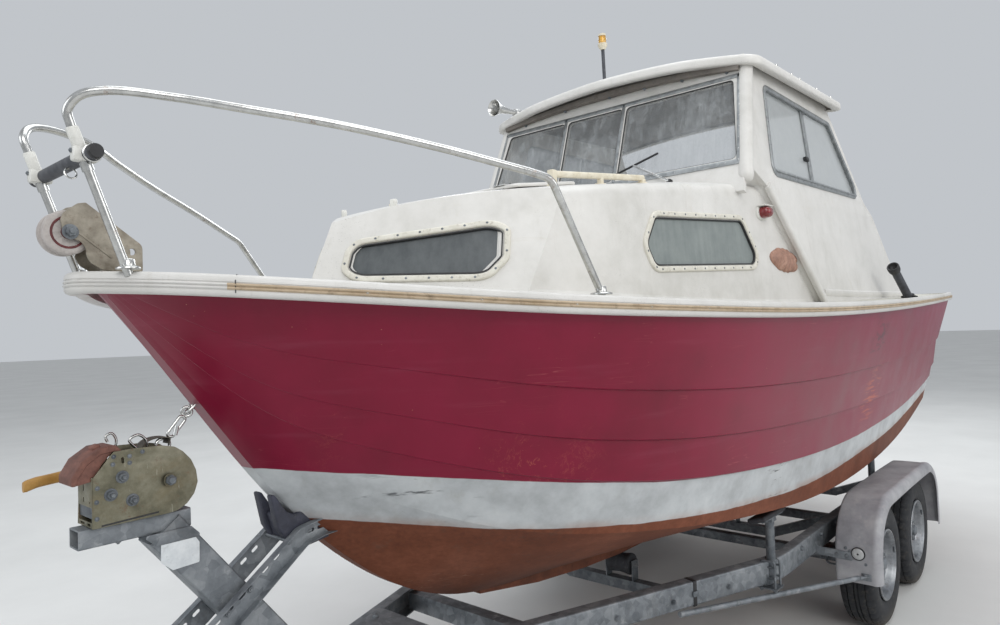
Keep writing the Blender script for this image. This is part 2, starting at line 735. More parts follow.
def make_gelcoat(name="gelcoat", tone=0, seed=0.0, grime=1.0):
    m = Mat(name, rough=0.4, Coat_Weight=0.12, Coat_Roughness=0.2)
    big = m.noise(1.6, 5.0, 0.6, vec=m.stretch(1, 1, 1, seed, seed, seed))
    mid = m.noise(9.0, 6.0, 0.7)
    streak = m.noise(1.0, 6.0, 0.7, vec=m.stretch(24.0, 24.0, 2.0, seed))
    a = [(196, 194, 188), (218, 216, 212), (232, 230, 227)]
    col = m.ramp(m.add(m.mul(big, 0.6), m.mul(mid, 0.4)), [(0.30, lin(*[c - tone for c in a[0]])), (0.5, lin(*[c - tone for c in a[1]])), (0.7, lin(*[c - tone for c in a[2]]))])
    col = m.mix(m.range(streak, 0.56, 0.80, 0.0, 0.22 * grime), col, lin(150, 142, 124))
    # lichen and soot specks, in patches
    patch = m.range(m.noise(3.0, 4.0, 0.6), 0.46, 0.64, 0.0, 1.0)
    sp = m.range(m.cells(150.0), 0.10, 0.20, 1.0, 0.0)
    col = m.mix(m.mul(m.mul(sp, patch), 0.50 * grime), col, lin(112, 108, 98))
    sp2 = m.range(m.cells(46.0), 0.045, 0.09, 1.0, 0.0)
    col = m.mix(m.mul(m.mul(sp2, patch), 0.55 * grime), col, lin(120, 112, 96))
    stain = m.range(m.noise(2.3, 7.0, 0.75, dist=0.6), 0.60, 0.72, 0.0, 0.22 * grime)
    col = m.mix(stain, col, lin(176, 164, 138))
    rough = m.add(0.30, m.mul(mid, 0.28))
    b = m.bump(m.noise(3.0, 2.0), 0.18, 0.004)
    b = m.bump(m.noise(240.0, 2.0), 0.05, 0.001, b)
    return m.set(base=col, rough=rough, bump=b)


def make_deck():
    m = Mat("deck_gelcoat", rough=0.6)
    mid = m.noise(7.0, 6.0, 0.7)
    col = m.ramp(mid, [(0.3, lin(172, 169, 158)), (0.55, lin(196, 194, 185)), (0.75, lin(212, 210, 203))])
    col = m.mix(m.range(m.noise(30.0, 4.0, 0.7), 0.5, 0.75, 0.0, 0.3), col, lin(122, 116, 98))
    col = m.mix(m.range(m.cells(120.0), 0.08, 0.2, 0.35, 0.0), col, lin(98, 96, 84))
    grip = m.cells(420.0, out="Distance")
    nx, ny, nz = m.normal()
    flat = m.range(nz, 0.9, 0.97, 0.0, 1.0)
    b = m.bump(m.mul(grip, flat), 0.6, 0.0012)
    return m.set(base=col, rough=m.add(0.5, m.mul(mid, 0.3)), bump=b)


def make_cream(name="cream_plastic", a=(203, 199, 187), b=(222, 219, 209), grime=0.4):
    m = Mat(name, rough=0.5)
    n = m.noise(26.0, 6.0, 0.7)
    col = m.ramp(n, [(0.32, lin(*a)), (0.68, lin(*b))])
    col = m.mix(m.range(m.noise(60.0, 5.0, 0.75), 0.54, 0.70, 0.0, grime), col, lin(112, 98, 74))
    col = m.mix(m.range(m.noise(11.0, 5.0, 0.7), 0.58, 0.72, 0.0, grime * 0.6), col, lin(140, 132, 112))
    return m.set(base=col, rough=m.add(0.38, m.mul(n, 0.3)), bump=m.bump(m.noise(300.0, 2.0), 0.12, 0.0008))


def make_plain(name, c0, c1, rough=0.5, metal=0.0, scale=20.0, dirt=None, dirt_amount=0.3, bump_scale=250.0, bump_strength=0.1, **k):
    m = Mat(name, rough=rough, metal=metal, **k)
    n = m.noise(scale, 5.0, 0.65)
    col = m.ramp(n, [(0.3, lin(*c0)), (0.7, lin(*c1))])
    if dirt:
        col = m.mix(m.range(m.noise(scale * 2.3, 6.0, 0.75), 0.52, 0.72, 0.0, dirt_amount), col, lin(*dirt))
    r = m.add(rough - 0.08, m.mul(n, 0.18))
    return m.set(base=col, rough=r, bump=m.bump(m.noise(bump_scale, 3.0, 0.6), bump_strength, 0.001))


def make_galv(name="galvanised", dark=0.0, rust=0.35):
    m = Mat(name, rough=0.5, metal=0.55)
    sp = m.cells(38.0, out="Color")
    sep = m.t.nodes.new("ShaderNodeSeparateColor")
    m.t.links.new(sp, sep.inputs[0])
    flake = sep.outputs[0]
    mid = m.noise(9.0, 6.0, 0.7)
    mixv = m.add(m.mul(flake, 0.18), m.mul(mid, 0.82))
    d = int(dark)
    col = m.ramp(mixv, [(0.28, lin(92 - d, 97 - d, 102 - d)), (0.50, lin(126 - d, 131 - d, 136 - d)), (0.74, lin(158 - d, 162 - d, 165 - d))])
    chalk = m.range(m.noise(16.0, 6.0, 0.75), 0.56, 0.72, 0.0, 0.45)
    col = m.mix(chalk, col, lin(176, 178, 178))
    grime = m.range(m.noise(5.0, 6.0, 0.7, dist=0.5), 0.52, 0.72, 0.0, 0.55)
    col = m.mix(grime, col, lin(62, 64, 64))
    rs = m.range(m.noise(13.0, 7.0, 0.8), 0.62, 0.72, 0.0, rust)
    col = m.mix(rs, col, lin(118, 74, 46))
    r = m.add(0.42, m.mul(mid, 0.25))
    return m.set(base=col, rough=r, metal=m.range(m.add(grime, m.add(chalk, rs)), 0.0, 0.6, 0.6, 0.15), bump=m.bump(m.noise(90.0, 4.0, 0.7), 0.14, 0.001))


def make_stainless(name="stainless", tea=0.35):
    m = Mat(name, rough=0.18, metal=1.0)
    n = m.noise(30.0, 5.0, 0.7)
    col = m.ramp(n, [(0.3, lin(176, 176, 174)), (0.7, lin(214, 214, 212))])
    st = m.range(m.noise(22.0, 6.0, 0.8), 0.56, 0.72, 0.0, tea)
    col = m.mix(st, col, lin(126, 84, 50))
    r = m.add(m.add(0.16, m.mul(n, 0.16)), m.mul(st, 0.5))
    return m.set(base=col, rough=r, bump=m.bump(m.noise(400.0, 2.0), 0.04, 0.0005))


def make_zinc():
    m = Mat("zinc_yellow", rough=0.45, metal=0.7)
    n = m.noise(14.0, 6.0, 0.7)
    col = m.ramp(n, [(0.28, lin(84, 82, 69)), (0.48, lin(116, 113, 96)), (0.72, lin(146, 143, 126))])
    iri = m.noise(6.0, 4.0, 0.6, dist=1.5)
    col = m.mix(m.range(iri, 0.5, 0.7, 0.0, 0.35), col, lin(134, 118, 88))
    rs = m.range(m.noise(19.0, 7.0, 0.8), 0.57, 0.68, 0.0, 0.75)
    col = m.mix(rs, col, lin(104, 66, 40))
    scratch = m.range(m.noise(1.0, 4.0, 0.7, vec=m.stretch(90.0, 90.0, 12.0, rot=(0, 0.7, 0))), 0.64, 0.70, 0.0, 0.5)
    col = m.mix(scratch, col, lin(186, 184, 170))
    return m.set(base=col, rough=m.add(0.34, m.add(m.mul(n, 0.2), m.mul(rs, 0.35))), metal=m.range(rs, 0.0, 0.7, 0.75, 0.1), bump=m.bump(m.noise(120.0, 5.0, 0.75), 0.22, 0.001))


def make_glass():
    """clear wheelhouse glass above, frosted cuddy panes below"""
    m = Mat("pane", rough=0.12, IOR=1.45, Transmission_Weight=0.0)
    hazy = m.range(m.z, 2.02, 2.10, 1.0, 0.0)
    dust = m.noise(7.0, 7.0, 0.75)
    run = m.noise(1.0, 6.0, 0.7, vec=m.stretch(30.0, 30.0, 1.6))
    col = m.ramp(m.add(m.mul(dust, 0.6), m.mul(run, 0.4)), [(0.3, lin(112, 120, 120)), (0.7, lin(148, 155, 153))])
    col = m.mix(hazy, m.ramp(dust, [(0.3, lin(150, 156, 160)), (0.7, lin(190, 194, 196))]), col)
    front = m.mul(hazy, m.range(m.x, 1.00, 1.10))
    col = m.mix(front, col, m.ramp(m.add(m.mul(dust, 0.6), m.mul(run, 0.4)), [(0.3, lin(66, 71, 74)), (0.7, lin(104, 108, 110))]))
    alpha = m.fmix(hazy, m.add(0.16, m.mul(m.range(m.add(m.mul(dust, 0.5), m.mul(run, 0.5)), 0.42, 0.7), 0.30)), 0.94)
    side = m.mul(m.range(m.math("ABSOLUTE", m.y), 0.66, 0.70), m.range(m.z, 2.10, 2.12))
    alpha = m.fmix(side, alpha, m.add(0.50, m.mul(dust, 0.25)))
    col = m.mix(side, col, lin(188, 192, 193))
    rough = m.fmix(hazy, m.add(0.06, m.mul(run, 0.10)), m.add(0.34, m.mul(dust, 0.2)))
    return m.set(base=col, rough=rough, alpha=alpha, bump=m.bump(m.noise(4.0, 2.0), 0.05, 0.002))


def make_lens(name, c0, c1, alpha=1.0):
    m = Mat(name, rough=0.15, IOR=1.49, Transmission_Weight=0.35, Coat_Weight=0.6, Coat_Roughness=0.08)
    n = m.noise(40.0, 4.0, 0.6)
    return m.set(base=m.ramp(n, [(0.3, lin(*c0)), (0.7, lin(*c1))]), rough=m.add(0.10, m.mul(n, 0.2)), bump=m.bump(m.wave(120.0, "Z"), 0.15, 0.0008))


def make_rubber(name="black_rubber", c0=(26, 27, 30), c1=(58, 60, 66), rough=0.7, dust=0.35):
    m = Mat(name, rough=rough)
    n = m.noise(22.0, 6.0, 0.7)
    col = m.ramp(n, [(0.3, lin(*c0)), (0.7, lin(*c1))])
    col = m.mix(m.range(m.noise(48.0, 6.0, 0.8), 0.52, 0.72, 0.0, dust), col, lin(120, 118, 112))
    return m.set(base=col, rough=m.add(rough - 0.1, m.mul(n, 0.2)), bump=m.bump(m.noise(200.0, 4.0, 0.7), 0.25, 0.001))


def make_tyre():
    m = Mat("tyre_rubber", rough=0.8)
    n = m.noise(12.0, 6.0, 0.7)
    col = m.ramp(n, [(0.3, lin(24, 25, 28)), (0.7, lin(44, 46, 50))])
    col = m.mix(m.range(m.noise(30.0, 6.0, 0.8), 0.50, 0.72, 0.0, 0.40), col, lin(104, 98, 88))
    col = m.mix(m.range(m.z, 0.10, 0.0, 0.0, 0.35), col, lin(112, 102, 88))
    return m.set(base=col, rough=m.add(0.70, m.mul(n, 0.2)), bump=m.bump(m.noise(150.0, 4.0, 0.7), 0.2, 0.001))


def make_wood():
    m = Mat("varnished_ply", rough=0.35, Coat_Weight=0.4, Coat_Roughness=0.15)
    g = m.noise(1.0, 6.0, 0.6, vec=m.stretch(8.0, 26.0, 1.6), dist=0.4)
    col = m.ramp(g, [(0.3, lin(92, 54, 28)), (0.5, lin(138, 88, 50)), (0.7, lin(168, 118, 74))])
    col = m.mix(m.range(m.noise(1.0, 3.0, 0.7, vec=m.stretch(60.0, 220.0, 3.0)), 0.55, 0.7, 0.0, 0.45), col, lin(66, 38, 20))
    return m.set(base=col, rough=m.add(0.28, m.mul(g, 0.2)), bump=m.bump(g, 0.10, 0.001))


def make_vinyl():
    m = Mat("seat_vinyl", rough=0.5, Sheen_Weight=0.15)
    n = m.noise(10.0, 5.0, 0.6)
    col = m.ramp(n, [(0.3, lin(184, 178, 164)), (0.7, lin(208, 204, 194))])
    col = m.mix(m.range(m.noise(34.0, 5.0, 0.7), 0.55, 0.75, 0.0, 0.3), col, lin(132, 122, 104))
    leather = m.cells(520.0)
    b = m.bump(leather, 0.25, 0.0008)
    return m.set(base=col, rough=m.add(0.42, m.mul(n, 0.2)), bump=m.bump(m.noise(9.0, 3.0), 0.25, 0.003, b))


def make_terracotta():
    m = Mat("terracotta", rough=0.55)
    n = m.noise(30.0, 6.0, 0.7)
    col = m.ramp(n, [(0.3, lin(132, 98, 84)), (0.55, lin(168, 128, 110)), (0.75, lin(196, 164, 148))])
    col = m.mix(m.range(m.noise(90.0, 5.0, 0.8), 0.50, 0.66, 0.0, 0.5), col, lin(92, 62, 50))
    return m.set(base=col, rough=m.add(0.45, m.mul(n, 0.25)), bump=m.bump(m.noise(160.0, 5.0, 0.7), 0.3, 0.0012))


def make_webbing():
    m = Mat("winch_webbing", rough=0.85)
    w = m.wave(420.0, "Y", dist=0.0)
    n = m.noise(30.0, 5.0, 0.7)
    col = m.ramp(n, [(0.3, lin(70, 66, 60)), (0.7, lin(116, 110, 100))])
    return m.set(base=m.mix(m.mul(w, 0.3), col, lin(48, 46, 42)), rough=0.85, bump=m.bump(w, 0.5, 0.0008))


def make_floor():
    m = Mat("floor", rough=0.85)
    n = m.noise(0.9, 5.0, 0.6)
    return m.set(base=m.ramp(n, [(0.3, lin(206, 206, 204)), (0.7, lin(216, 216, 214))]), rough=0.9, bump=m.bump(m.noise(60.0, 3.0), 0.05, 0.002))


M = {
    "hull": make_hull(),
    "gel": make_gelcoat("gelcoat", 7),
    "gel_roof": make_gelcoat("gelcoat_roof", 4, 3.1, 1.15),
    "gel_in": make_gelcoat("gelcoat_inside", 14, 5.3, 0.6),
    "band": make_gelcoat("band_gelcoat", 20, 1.7, 1.2),
    "beige": make_plain("beige_strip", (160, 140, 114), (190, 172, 148), 0.6, scale=14.0, dirt=(96, 80, 62), dirt_amount=0.5),
    "deck": make_deck(),
    "cream": make_cream(),
    "cream_clean": make_cream("cream_rail", (206, 196, 172), (228, 221, 204), 0.3),
    "white_pl": make_plain("white_plastic", (198, 198, 192), (226, 225, 220), 0.4, scale=18.0, dirt=(126, 118, 98), dirt_amount=0.3),
    "alu": make_plain("window_alloy", (132, 136, 138), (176, 179, 180), 0.42, 0.8, scale=30.0, dirt=(84, 80, 72), dirt_amount=0.4),
    "under": make_plain("roof_underside", (104, 98, 92), (138, 132, 126), 0.75, scale=6.0, dirt=(74, 68, 60), dirt_amount=0.5),
    "glass": make_glass(),
    "wood": make_wood(),
    "steel": make_stainless(),
    "steel_worn": make_stainless("stainless_stained", 0.7),
    "galv": make_galv(),
    "galv_dark": make_galv("galvanised_dark", 22, 0.5),
    "galv_rusty": make_galv("galvanised_rusty", 10, 0.8),
    "zinc": make_zinc(),
    "bracket": make_plain("bracket_steel", (112, 104, 92), (166, 159, 146), 0.46, 0.55, scale=22.0, dirt=(92, 68, 46), dirt_amount=0.6, bump_scale=160.0, bump_strength=0.15),
    "cover": make_plain("brown_cover", (84, 52, 44), (128, 86, 74), 0.65, scale=26.0, dirt=(60, 44, 38), dirt_amount=0.6, bump_strength=0.3),
    "ochre": make_plain("ochre_grip", (150, 108, 44), (188, 146, 78), 0.55, scale=24.0, dirt=(96, 72, 38), dirt_amount=0.45),
    "rubber": make_rubber(),
    "snub": make_rubber("snubber_rubber", (34, 35, 44), (62, 64, 78), 0.6, 0.25),
    "pale_rubber": make_rubber("pale_rubber", (146, 138, 134), (190, 184, 180), 0.65, 0.4),
    "tyre": make_tyre(),
    "rim": make_plain("rim_silver", (118, 121, 126), (164, 167, 170), 0.38, 0.75, scale=16.0, dirt=(82, 66, 52), dirt_amount=0.5),
    "guard": make_plain("mudguard_grey", (128, 128, 133), (170, 170, 173), 0.5, scale=7.0, dirt=(176, 172, 172), dirt_amount=0.45, bump_scale=120.0, bump_strength=0.2),
    "dark": make_plain("dark_plastic", (20, 20, 22), (44, 44, 47), 0.5, scale=30.0, dirt=(86, 84, 80), dirt_amount=0.25),
    "grey_tube": make_plain("grey_tube", (48, 50, 56), (84, 86, 92), 0.55, 0.2, scale=30.0, dirt=(120, 116, 110), dirt_amount=0.3),
    "hub_red": make_plain("roller_hub", (74, 30, 32), (112, 52, 52), 0.55, scale=30.0, dirt=(60, 48, 44), dirt_amount=0.5),
    "amber": make_lens("amber_lens", (196, 140, 40), (226, 176, 70)),
    "red_lens": make_lens("red_lens", (120, 14, 24), (160, 26, 34)),
    "green_lens": make_lens("green_lens", (16, 96, 60), (26, 128, 80)),
    "lamp": make_lens("clear_lens", (196, 198, 198), (224, 226, 226)),
    "terracotta": make_terracotta(),
    "vinyl": make_vinyl(),
    "webbing": make_webbing(),
    "bronze": make_plain("bronze", (112, 82, 44), (160, 122, 70), 0.4, 0.9, scale=18.0, dirt=(70, 84, 62), dirt_amount=0.5),
    "engine": make_plain("engine_paint", (52, 72, 68), (84, 104, 98), 0.5, scale=12.0, dirt=(44, 36, 30), dirt_amount=0.6),
    "antifoul": make_plain("antifouling", (96, 56, 40), (146, 88, 64), 0.8, scale=9.0, dirt=(64, 54, 46), dirt_amount=0.5, bump_scale=80.0, bump_strength=0.3),
    "plate": make_plain("blank_plate", (190, 196, 200), (220, 224, 226), 0.4, scale=24.0, dirt=(120, 122, 120), dirt_amount=0.25),
    "gasket": make_rubber("gasket", (30, 30, 32), (52, 52, 54), 0.6, 0.3),
    "floor": make_floor(),
}


def paint(node, key):
    """gives a CAD node one of the materials above"""
    me = NODES[node].data
    if not me.materials:
        me.materials.append(M[key])
    for k in range(len(me.materials)):
        me.materials[k] = M[key]




# ================================================================ camera, light
def setup_view():
    yaw, pitch, roll = math.radians(41.075), math.radians(1.23), math.radians(1.845)
    d = Vector((-math.cos(yaw), -math.sin(yaw), 0))
    r = Vector((-math.sin(yaw), math.cos(yaw), 0))
    u = Vector((0, 0, 1))
    d2 = d * math.cos(pitch) + u * math.sin(pitch)
    u2 = -d * math.sin(pitch) + u * math.cos(pitch)
    r3 = r * math.cos(roll) - u2 * math.sin(roll)
    u3 = r * math.sin(roll) + u2 * math.cos(roll)
    cam = bpy.data.cameras.new("camera")
    cam.lens, cam.sensor_width, cam.sensor_fit = 25.4, 36.0, "HORIZONTAL"
    cam.clip_start, cam.clip_end = 0.05, 300.0
    ob = bpy.data.objects.new("camera", cam)
    ob.matrix_world = place((3.117, 1.905, 1.549), r3, u3, -d2)
    sc = bpy.context.scene
    sc.collection.objects.link(ob)
    sc.camera = ob
    sc.view_settings.view_transform = "Standard"
    w = bpy.data.worlds.new("sky")
    w.use_nodes = True
    bg = w.node_tree.nodes["Background"]
    bg.inputs[0].default_value = (0.86, 0.90, 0.95, 1)
    bg.inputs[1].default_value = 0.62
    sc.world = w

    def area(name, loc, target, size, power, col=(1, 1, 1)):
        l = bpy.data.lights.new(name, "AREA")
        l.shape, l.size, l.size_y, l.energy, l.color = "RECTANGLE", size[0], size[1], power, col
        o = bpy.data.objects.new(name, l)
        o.location = loc
        o.rotation_mode = "QUATERNION"
        o.rotation_quaternion = (Vector(target) - Vector(loc)).to_track_quat("-Z", "Y")
        sc.collection.objects.link(o)
        o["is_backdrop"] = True

    area("key", (5.5, 7.5, 7.0), (0.0, 0.0, 1.2), (7.0, 5.0), 400.0, (1.0, 0.985, 0.96))
    area("side", (-3.0, 9.0, 4.5), (-1.0, 0.0, 1.3), (6.0, 4.0), 170.0, (1.0, 0.99, 0.97))
    area("fill", (8.5, -2.5, 4.0), (1.5, 0.0, 1.3), (5.0, 4.0), 120.0, (0.94, 0.97, 1.0))
    area("sky_top", (-0.5, 0.0, 9.5), (-0.5, 0.0, 0.0), (9.0, 7.0), 420.0, (0.95, 0.98, 1.0))
    area("back", (-7.5, -5.0, 5.5), (-0.5, 0.0, 1.3), (6.0, 4.0), 260.0, (0.96, 0.98, 1.0))
    n = 96
    v = [Vector((0, 0, 0))] + [Vector((70 * math.cos(2 * math.pi * k / n), 70 * math.sin(2 * math.pi * k / n), 0)) for k in range(n)]
    me = bpy.data.meshes.new("floor")
    me.from_pydata([tuple(p) for p in v], [], [(0, 1 + k, 1 + (k + 1) % n) for k in range(n)])
    me.materials.append(M["floor"])
    fl = bpy.data.objects.new("floor", me)
    sc.collection.objects.link(fl)
    fl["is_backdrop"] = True


setup_view()


def subset(shape, keep):
    """the faces of a shape that keep(index, face) accepts, loose points dropped"""
    v, f = shape
    faces = [q for i, q in enumerate(f) if keep(i, q)]
    used = sorted({i for q in faces for i in q})
    at = {i: k for k, i in enumerate(used)}
    return [v[i] for i in used], [tuple(at[i] for i in q) for q in faces]


def catmull(pts, n=8, closed=False):
    """smooth curve through the points"""
    p = [Vector(q) for q in pts]
    m = len(p)
    out = []
    for i in range(m if closed else m - 1):
        a = p[(i - 1) % m] if (closed or i) else p[0] * 2 - p[1]
        b, c = p[i], p[(i + 1) % m]
        d = p[(i + 2) % m] if (closed or i < m - 2) else p[-1] * 2 - p[-2]
        ta, tb, tc = (b - a).length ** 0.5, (c - b).length ** 0.5, (d - c).length ** 0.5
        m1 = ((b - a) / ta - (c - a) / (ta + tb) + (c - b) / tb) * tb
        m2 = ((c - b) / tb - (d - b) / (tb + tc) + (d - c) / tc) * tb
        for k in range(n):
            t = k / n
            out.append(b * (2 * t ** 3 - 3 * t ** 2 + 1) + m1 * (t ** 3 - 2 * t ** 2 + t) + c * (-2 * t ** 3 + 3 * t ** 2) + m2 * (t ** 3 - t ** 2))
    if not closed:
        out.append(p[-1])
    return out


def evaluated(ob):
    """the mesh of an object with its modifiers worked in, as a shape"""
    dg = bpy.context.evaluated_depsgraph_get()
    me = bpy.data.meshes.new_from_object(ob.evaluated_get(dg))
    s = ([v.co.copy() for v in me.vertices], [tuple(p.vertices) for p in me.polygons])
    bpy.data.meshes.remove(me)
    return s


def cut(shape, cutters, thick=0.0):
    """solidifies an open sheet inwards by thick, then takes the cutters away"""
    def mk(s, name):
        me = bpy.data.meshes.new(name)
        me.from_pydata([tuple(p) for p in s[0]], [], s[1])
        bm = bmesh.new()
        bm.from_mesh(me)
        bmesh.ops.remove_doubles(bm, verts=bm.verts, dist=1e-6)
        bmesh.ops.recalc_face_normals(bm, faces=bm.faces)
        bm.to_mesh(me)
        bm.free()
        o = bpy.data.objects.new(name, me)
        bpy.context.scene.collection.objects.link(o)
        return o
    body = mk(shape, "tmp_body")
    if thick:
        md = body.modifiers.new("t", "SOLIDIFY")
        md.thickness, md.offset, md.use_even_offset = thick, -1.0, True
    tools = [mk(c, "tmp_cut") for c in cutters]
    for t in tools:
        md = body.modifiers.new("c", "BOOLEAN")
        md.object, md.operation, md.solver = t, "DIFFERENCE", "MANIFOLD"
    s = evaluated(body)
    for o in [body] + tools:
        me = o.data
        bpy.data.objects.remove(o)
        bpy.data.meshes.remove(me)
    return s


def prism(outline, to3d, d0, d1):
    """closed solid over a 2-D outline between two depths"""
    n = len(outline)
    v = [to3d(a, b, d0) for a, b in outline] + [to3d(a, b, d1) for a, b in outline]
    f = [tuple(reversed(range(n))), tuple(range(n, 2 * n))]
    f += [(k, (k + 1) % n, n + (k + 1) % n, n + k) for k in range(n)]
    return v, f


# ================================================================ hull, deck
paint("hull_shell", "hull")
paint("deck", "deck")
paint("keel_skeg", "antifoul")
paint("interior_moulding", "deck")

SHEER = [(-2.440, .950, 1.705), (-1.560, 1.020, 1.675), (-.510, 1.080, 1.640), (.500, 1.100, 1.612), (1.350, 1.050, 1.602), (2.010, .950, 1.613), (2.470, .785, 1.633), (2.800, .590, 1.660), (3.060, .390, 1.685), (3.215, .215, 1.702), (3.300, .060, 1.712)]
_d = [0.0]
for _a, _b in zip(SHEER[:-1], SHEER[1:]):
    _d.append(_d[-1] + (Vector(_b) - Vector(_a)).length)
_sx, _sy, _sz = (spline(_d, [s[k] for s in SHEER]) for k in range(3))


def sheer(t):
    """a point on the port sheer, t in metres forward from the transom"""
    return Vector((_sx(t), _sy(t), _sz(t)))


SHEER_LEN = _d[-1]
_tab = [(sheer(SHEER_LEN * k / 400).x, SHEER_LEN * k / 400) for k in range(401)]


def sheer_x(x):
    """the point on the port sheer at x"""
    lo = 0
    for k, (a, _) in enumerate(_tab):
        if a <= x:
            lo = k
    lo = min(lo, 399)
    (a, ta), (b, tb) = _tab[lo], _tab[lo + 1]
    return sheer(ta + (tb - ta) * (x - a) / (b - a))


def make_band():
    port = [sheer(SHEER_LEN * (k / 90.0)) for k in range(1, 91)]
    port[-1] = Vector((3.298, .062, 1.712))
    nose = [Vector((3.318, .044, 1.7125)), Vector((3.329, .024, 1.713)), Vector((3.332, 0, 1.713))]
    corner = [Vector((-2.440 + .06 * (1 - math.cos(math.radians(t))), .950 - .06 * (1 - math.sin(math.radians(t))), 1.705)) for t in (0, 22, 45, 67, 90)]
    half = [Vector((-2.440, y, 1.705)) for y in (0.0, .25, .5, .75, .86)] + corner + port[1:] + nose[:-1]
    path = half + [nose[-1]] + [Vector((p.x, -p.y, p.z)) for p in reversed(half[1:])]
    m = len(path)
    nrm = []
    for i in range(m):
        t = path[(i + 1) % m] - path[i - 1]
        q = Vector((t.y, -t.x, 0)).normalized()
        nrm.append(q)
    c = Vector((0.3, 0, 1.7))
    if (path[20] - c).dot(nrm[20]) < 0:
        nrm = [-q for q in nrm]
    prof = [(-14, 3), (6, 4), (13, 2), (18, -4), (20, -11), (20, -14), (18.4, -15.2), (18.4, -16.6),
            (21, -17.8), (22.4, -20.5), (21, -23.2), (18.8, -24.2), (18.8, -25.2), (21, -26.2), (22.4, -29), (21, -31.8), (18.4, -33),
            (18.4, -34.5), (20, -35.6), (20, -40), (17, -46.5), (11, -50), (-2, -50), (-14, -46)]
    prof = [(a / 1000, b / 1000) for a, b in prof]
    n = len(prof)
    s = strip([p - Vector((OX, 0, 0)) for p in path], prof, lambda i: nrm[i], (0, 0, 1), closed=True)
    bead = set(range(7, 16))

    def is_bead(i, f):
        k = i % n
        return k in bead and path[i // n].x < 3.10 and path[i // n].x > -2.42
    P = Piece("gunwale")
    P.put(subset(s, lambda i, f: not is_bead(i, f)), M["band"])
    P.put(subset(s, is_bead), M["beige"])
    P.done(replaces=["gunwale_band"], slot="white_gelcoat", auto=40)
    # seams of the nose cap, and the screws that hold the strip
    Q = Piece("gunwale_fastenings")
    for sgn in (1, -1):
        for x in (3.10, -1.55, 0.72):
            p = sheer_x(x)
            t = (sheer_x(x + .01) - sheer_x(x - .01)).normalized()
            o = Vector((t.y, -t.x, 0)).normalized()
            if o.y < 0:
                o = -o
            q = [V(*(p + o * a + Vector((0, 0, b)) + t * e)) for e in (-.0012, .0012) for a, b in ((.0205, -.040), (.0212, -.012), (.010, .0045), (-.012, .0045))]
            if sgn < 0:
                q = [Vector((v.x, -v.y, v.z)) for v in q]
            Q.put((q, [(0, 1, 5, 4), (1, 2, 6, 5), (2, 3, 7, 6)]), M["gasket"])
        x = -2.30
        while x < 3.0:
            p = sheer_x(x)
            t = (sheer_x(x + .01) - sheer_x(x - .01)).normalized()
            o = Vector((t.y, -t.x, 0)).normalized()
            if o.y < 0:
                o = -o
            c = p + o * .0188 + Vector((0, 0, -.0247))
            Q.put(dome_screw(V(c.x, sgn * c.y, c.z), (o.x, sgn * o.y, 0), .0034, .0016, 8), M["steel_worn"])
            x += .235
    Q.done(slot="stainless")


make_band()

# ================================================================ coachroof
CUDDY = [(2.905, .318, .300, 1.660, 1.735, 1.748), (2.700, .408, .384, 1.650, 1.830, 1.852), (2.400, .513, .485, 1.638, 1.942, 1.970), (2.150, .598, .566, 1.628, 1.990, 2.028), (1.500, .700, .664, 1.610, 2.075, 2.130), (.800, .775, .738, 1.605, 2.140, 2.245), (.240, .808, .766, 1.610, 2.170, 2.300)]
# the two flat faces that meet in a raking ridge at the front
NOSE_N = Vector((.75158, .57068, .33082)).normalized()
NOSE_P = Vector((2.662, 0, 1.715))


def on_nose(x, z, out=0.0):
    """point of the port nose face at x and z, own coordinates"""
    y = (NOSE_N.dot(NOSE_P) - NOSE_N.x * x - NOSE_N.z * z) / NOSE_N.y
    return Vector((x, y, z)) + NOSE_N * out


def skin(x, z):
    """y of the coachroof's port skin, on the side or on the nose face"""
    return min(cuddy_side(x, z), on_nose(x, z).y)


def skin_normal(x, z):
    return NOSE_N.copy() if on_nose(x, z).y < cuddy_side(x, z) else side_normal(x, z)
_cx = [r[0] for r in reversed(CUDDY)]
_cf = [spline(_cx, [r[k] for r in reversed(CUDDY)]) for k in range(1, 6)]


def cuddy_row(x):
    return [f(x) for f in _cf]


def cuddy_side(x, z, out=0.0):
    """y of the port side of the coachroof at a height"""
    yb, yt, zb, ze, zc = cuddy_row(x)
    z0 = zb - .02
    return yb + (yt - yb) * (z - z0) / (ze - z0) + out


def cuddy_top(x, y):
    yb, yt, zb, ze, zc = cuddy_row(x)
    return ze + (zc - ze) * (1 - min(abs(y) / yt, 1.0) ** 2.13)


def side_normal(x, z):
    a = Vector((x + .01, cuddy_side(x + .01, z), z)) - Vector((x - .01, cuddy_side(x - .01, z), z))
    b = Vector((x, cuddy_side(x, z + .01), z + .01)) - Vector((x, cuddy_side(x, z - .01), z - .01))
    n = a.cross(b).normalized()
    return n if n.y > 0 else -n


def round_corner(a, p, b, r, k):
    u, w = (a - p), (b - p)
    lu, lw = u.length, w.length
    u.normalize()
    w.normalize()
    ang = u.angle(w)
    t = min(r / math.tan(ang / 2), lu * .9, lw * .9)
    r = t * math.tan(ang / 2)
    c = p + (u + w).normalized() * (r / math.sin(ang / 2))
    s, e = p + u * t - c, p + w * t - c
    out = []
    for j in range(k + 1):
        out.append(c + s.normalized().slerp(e.normalized(), j / k) * r)
    return out


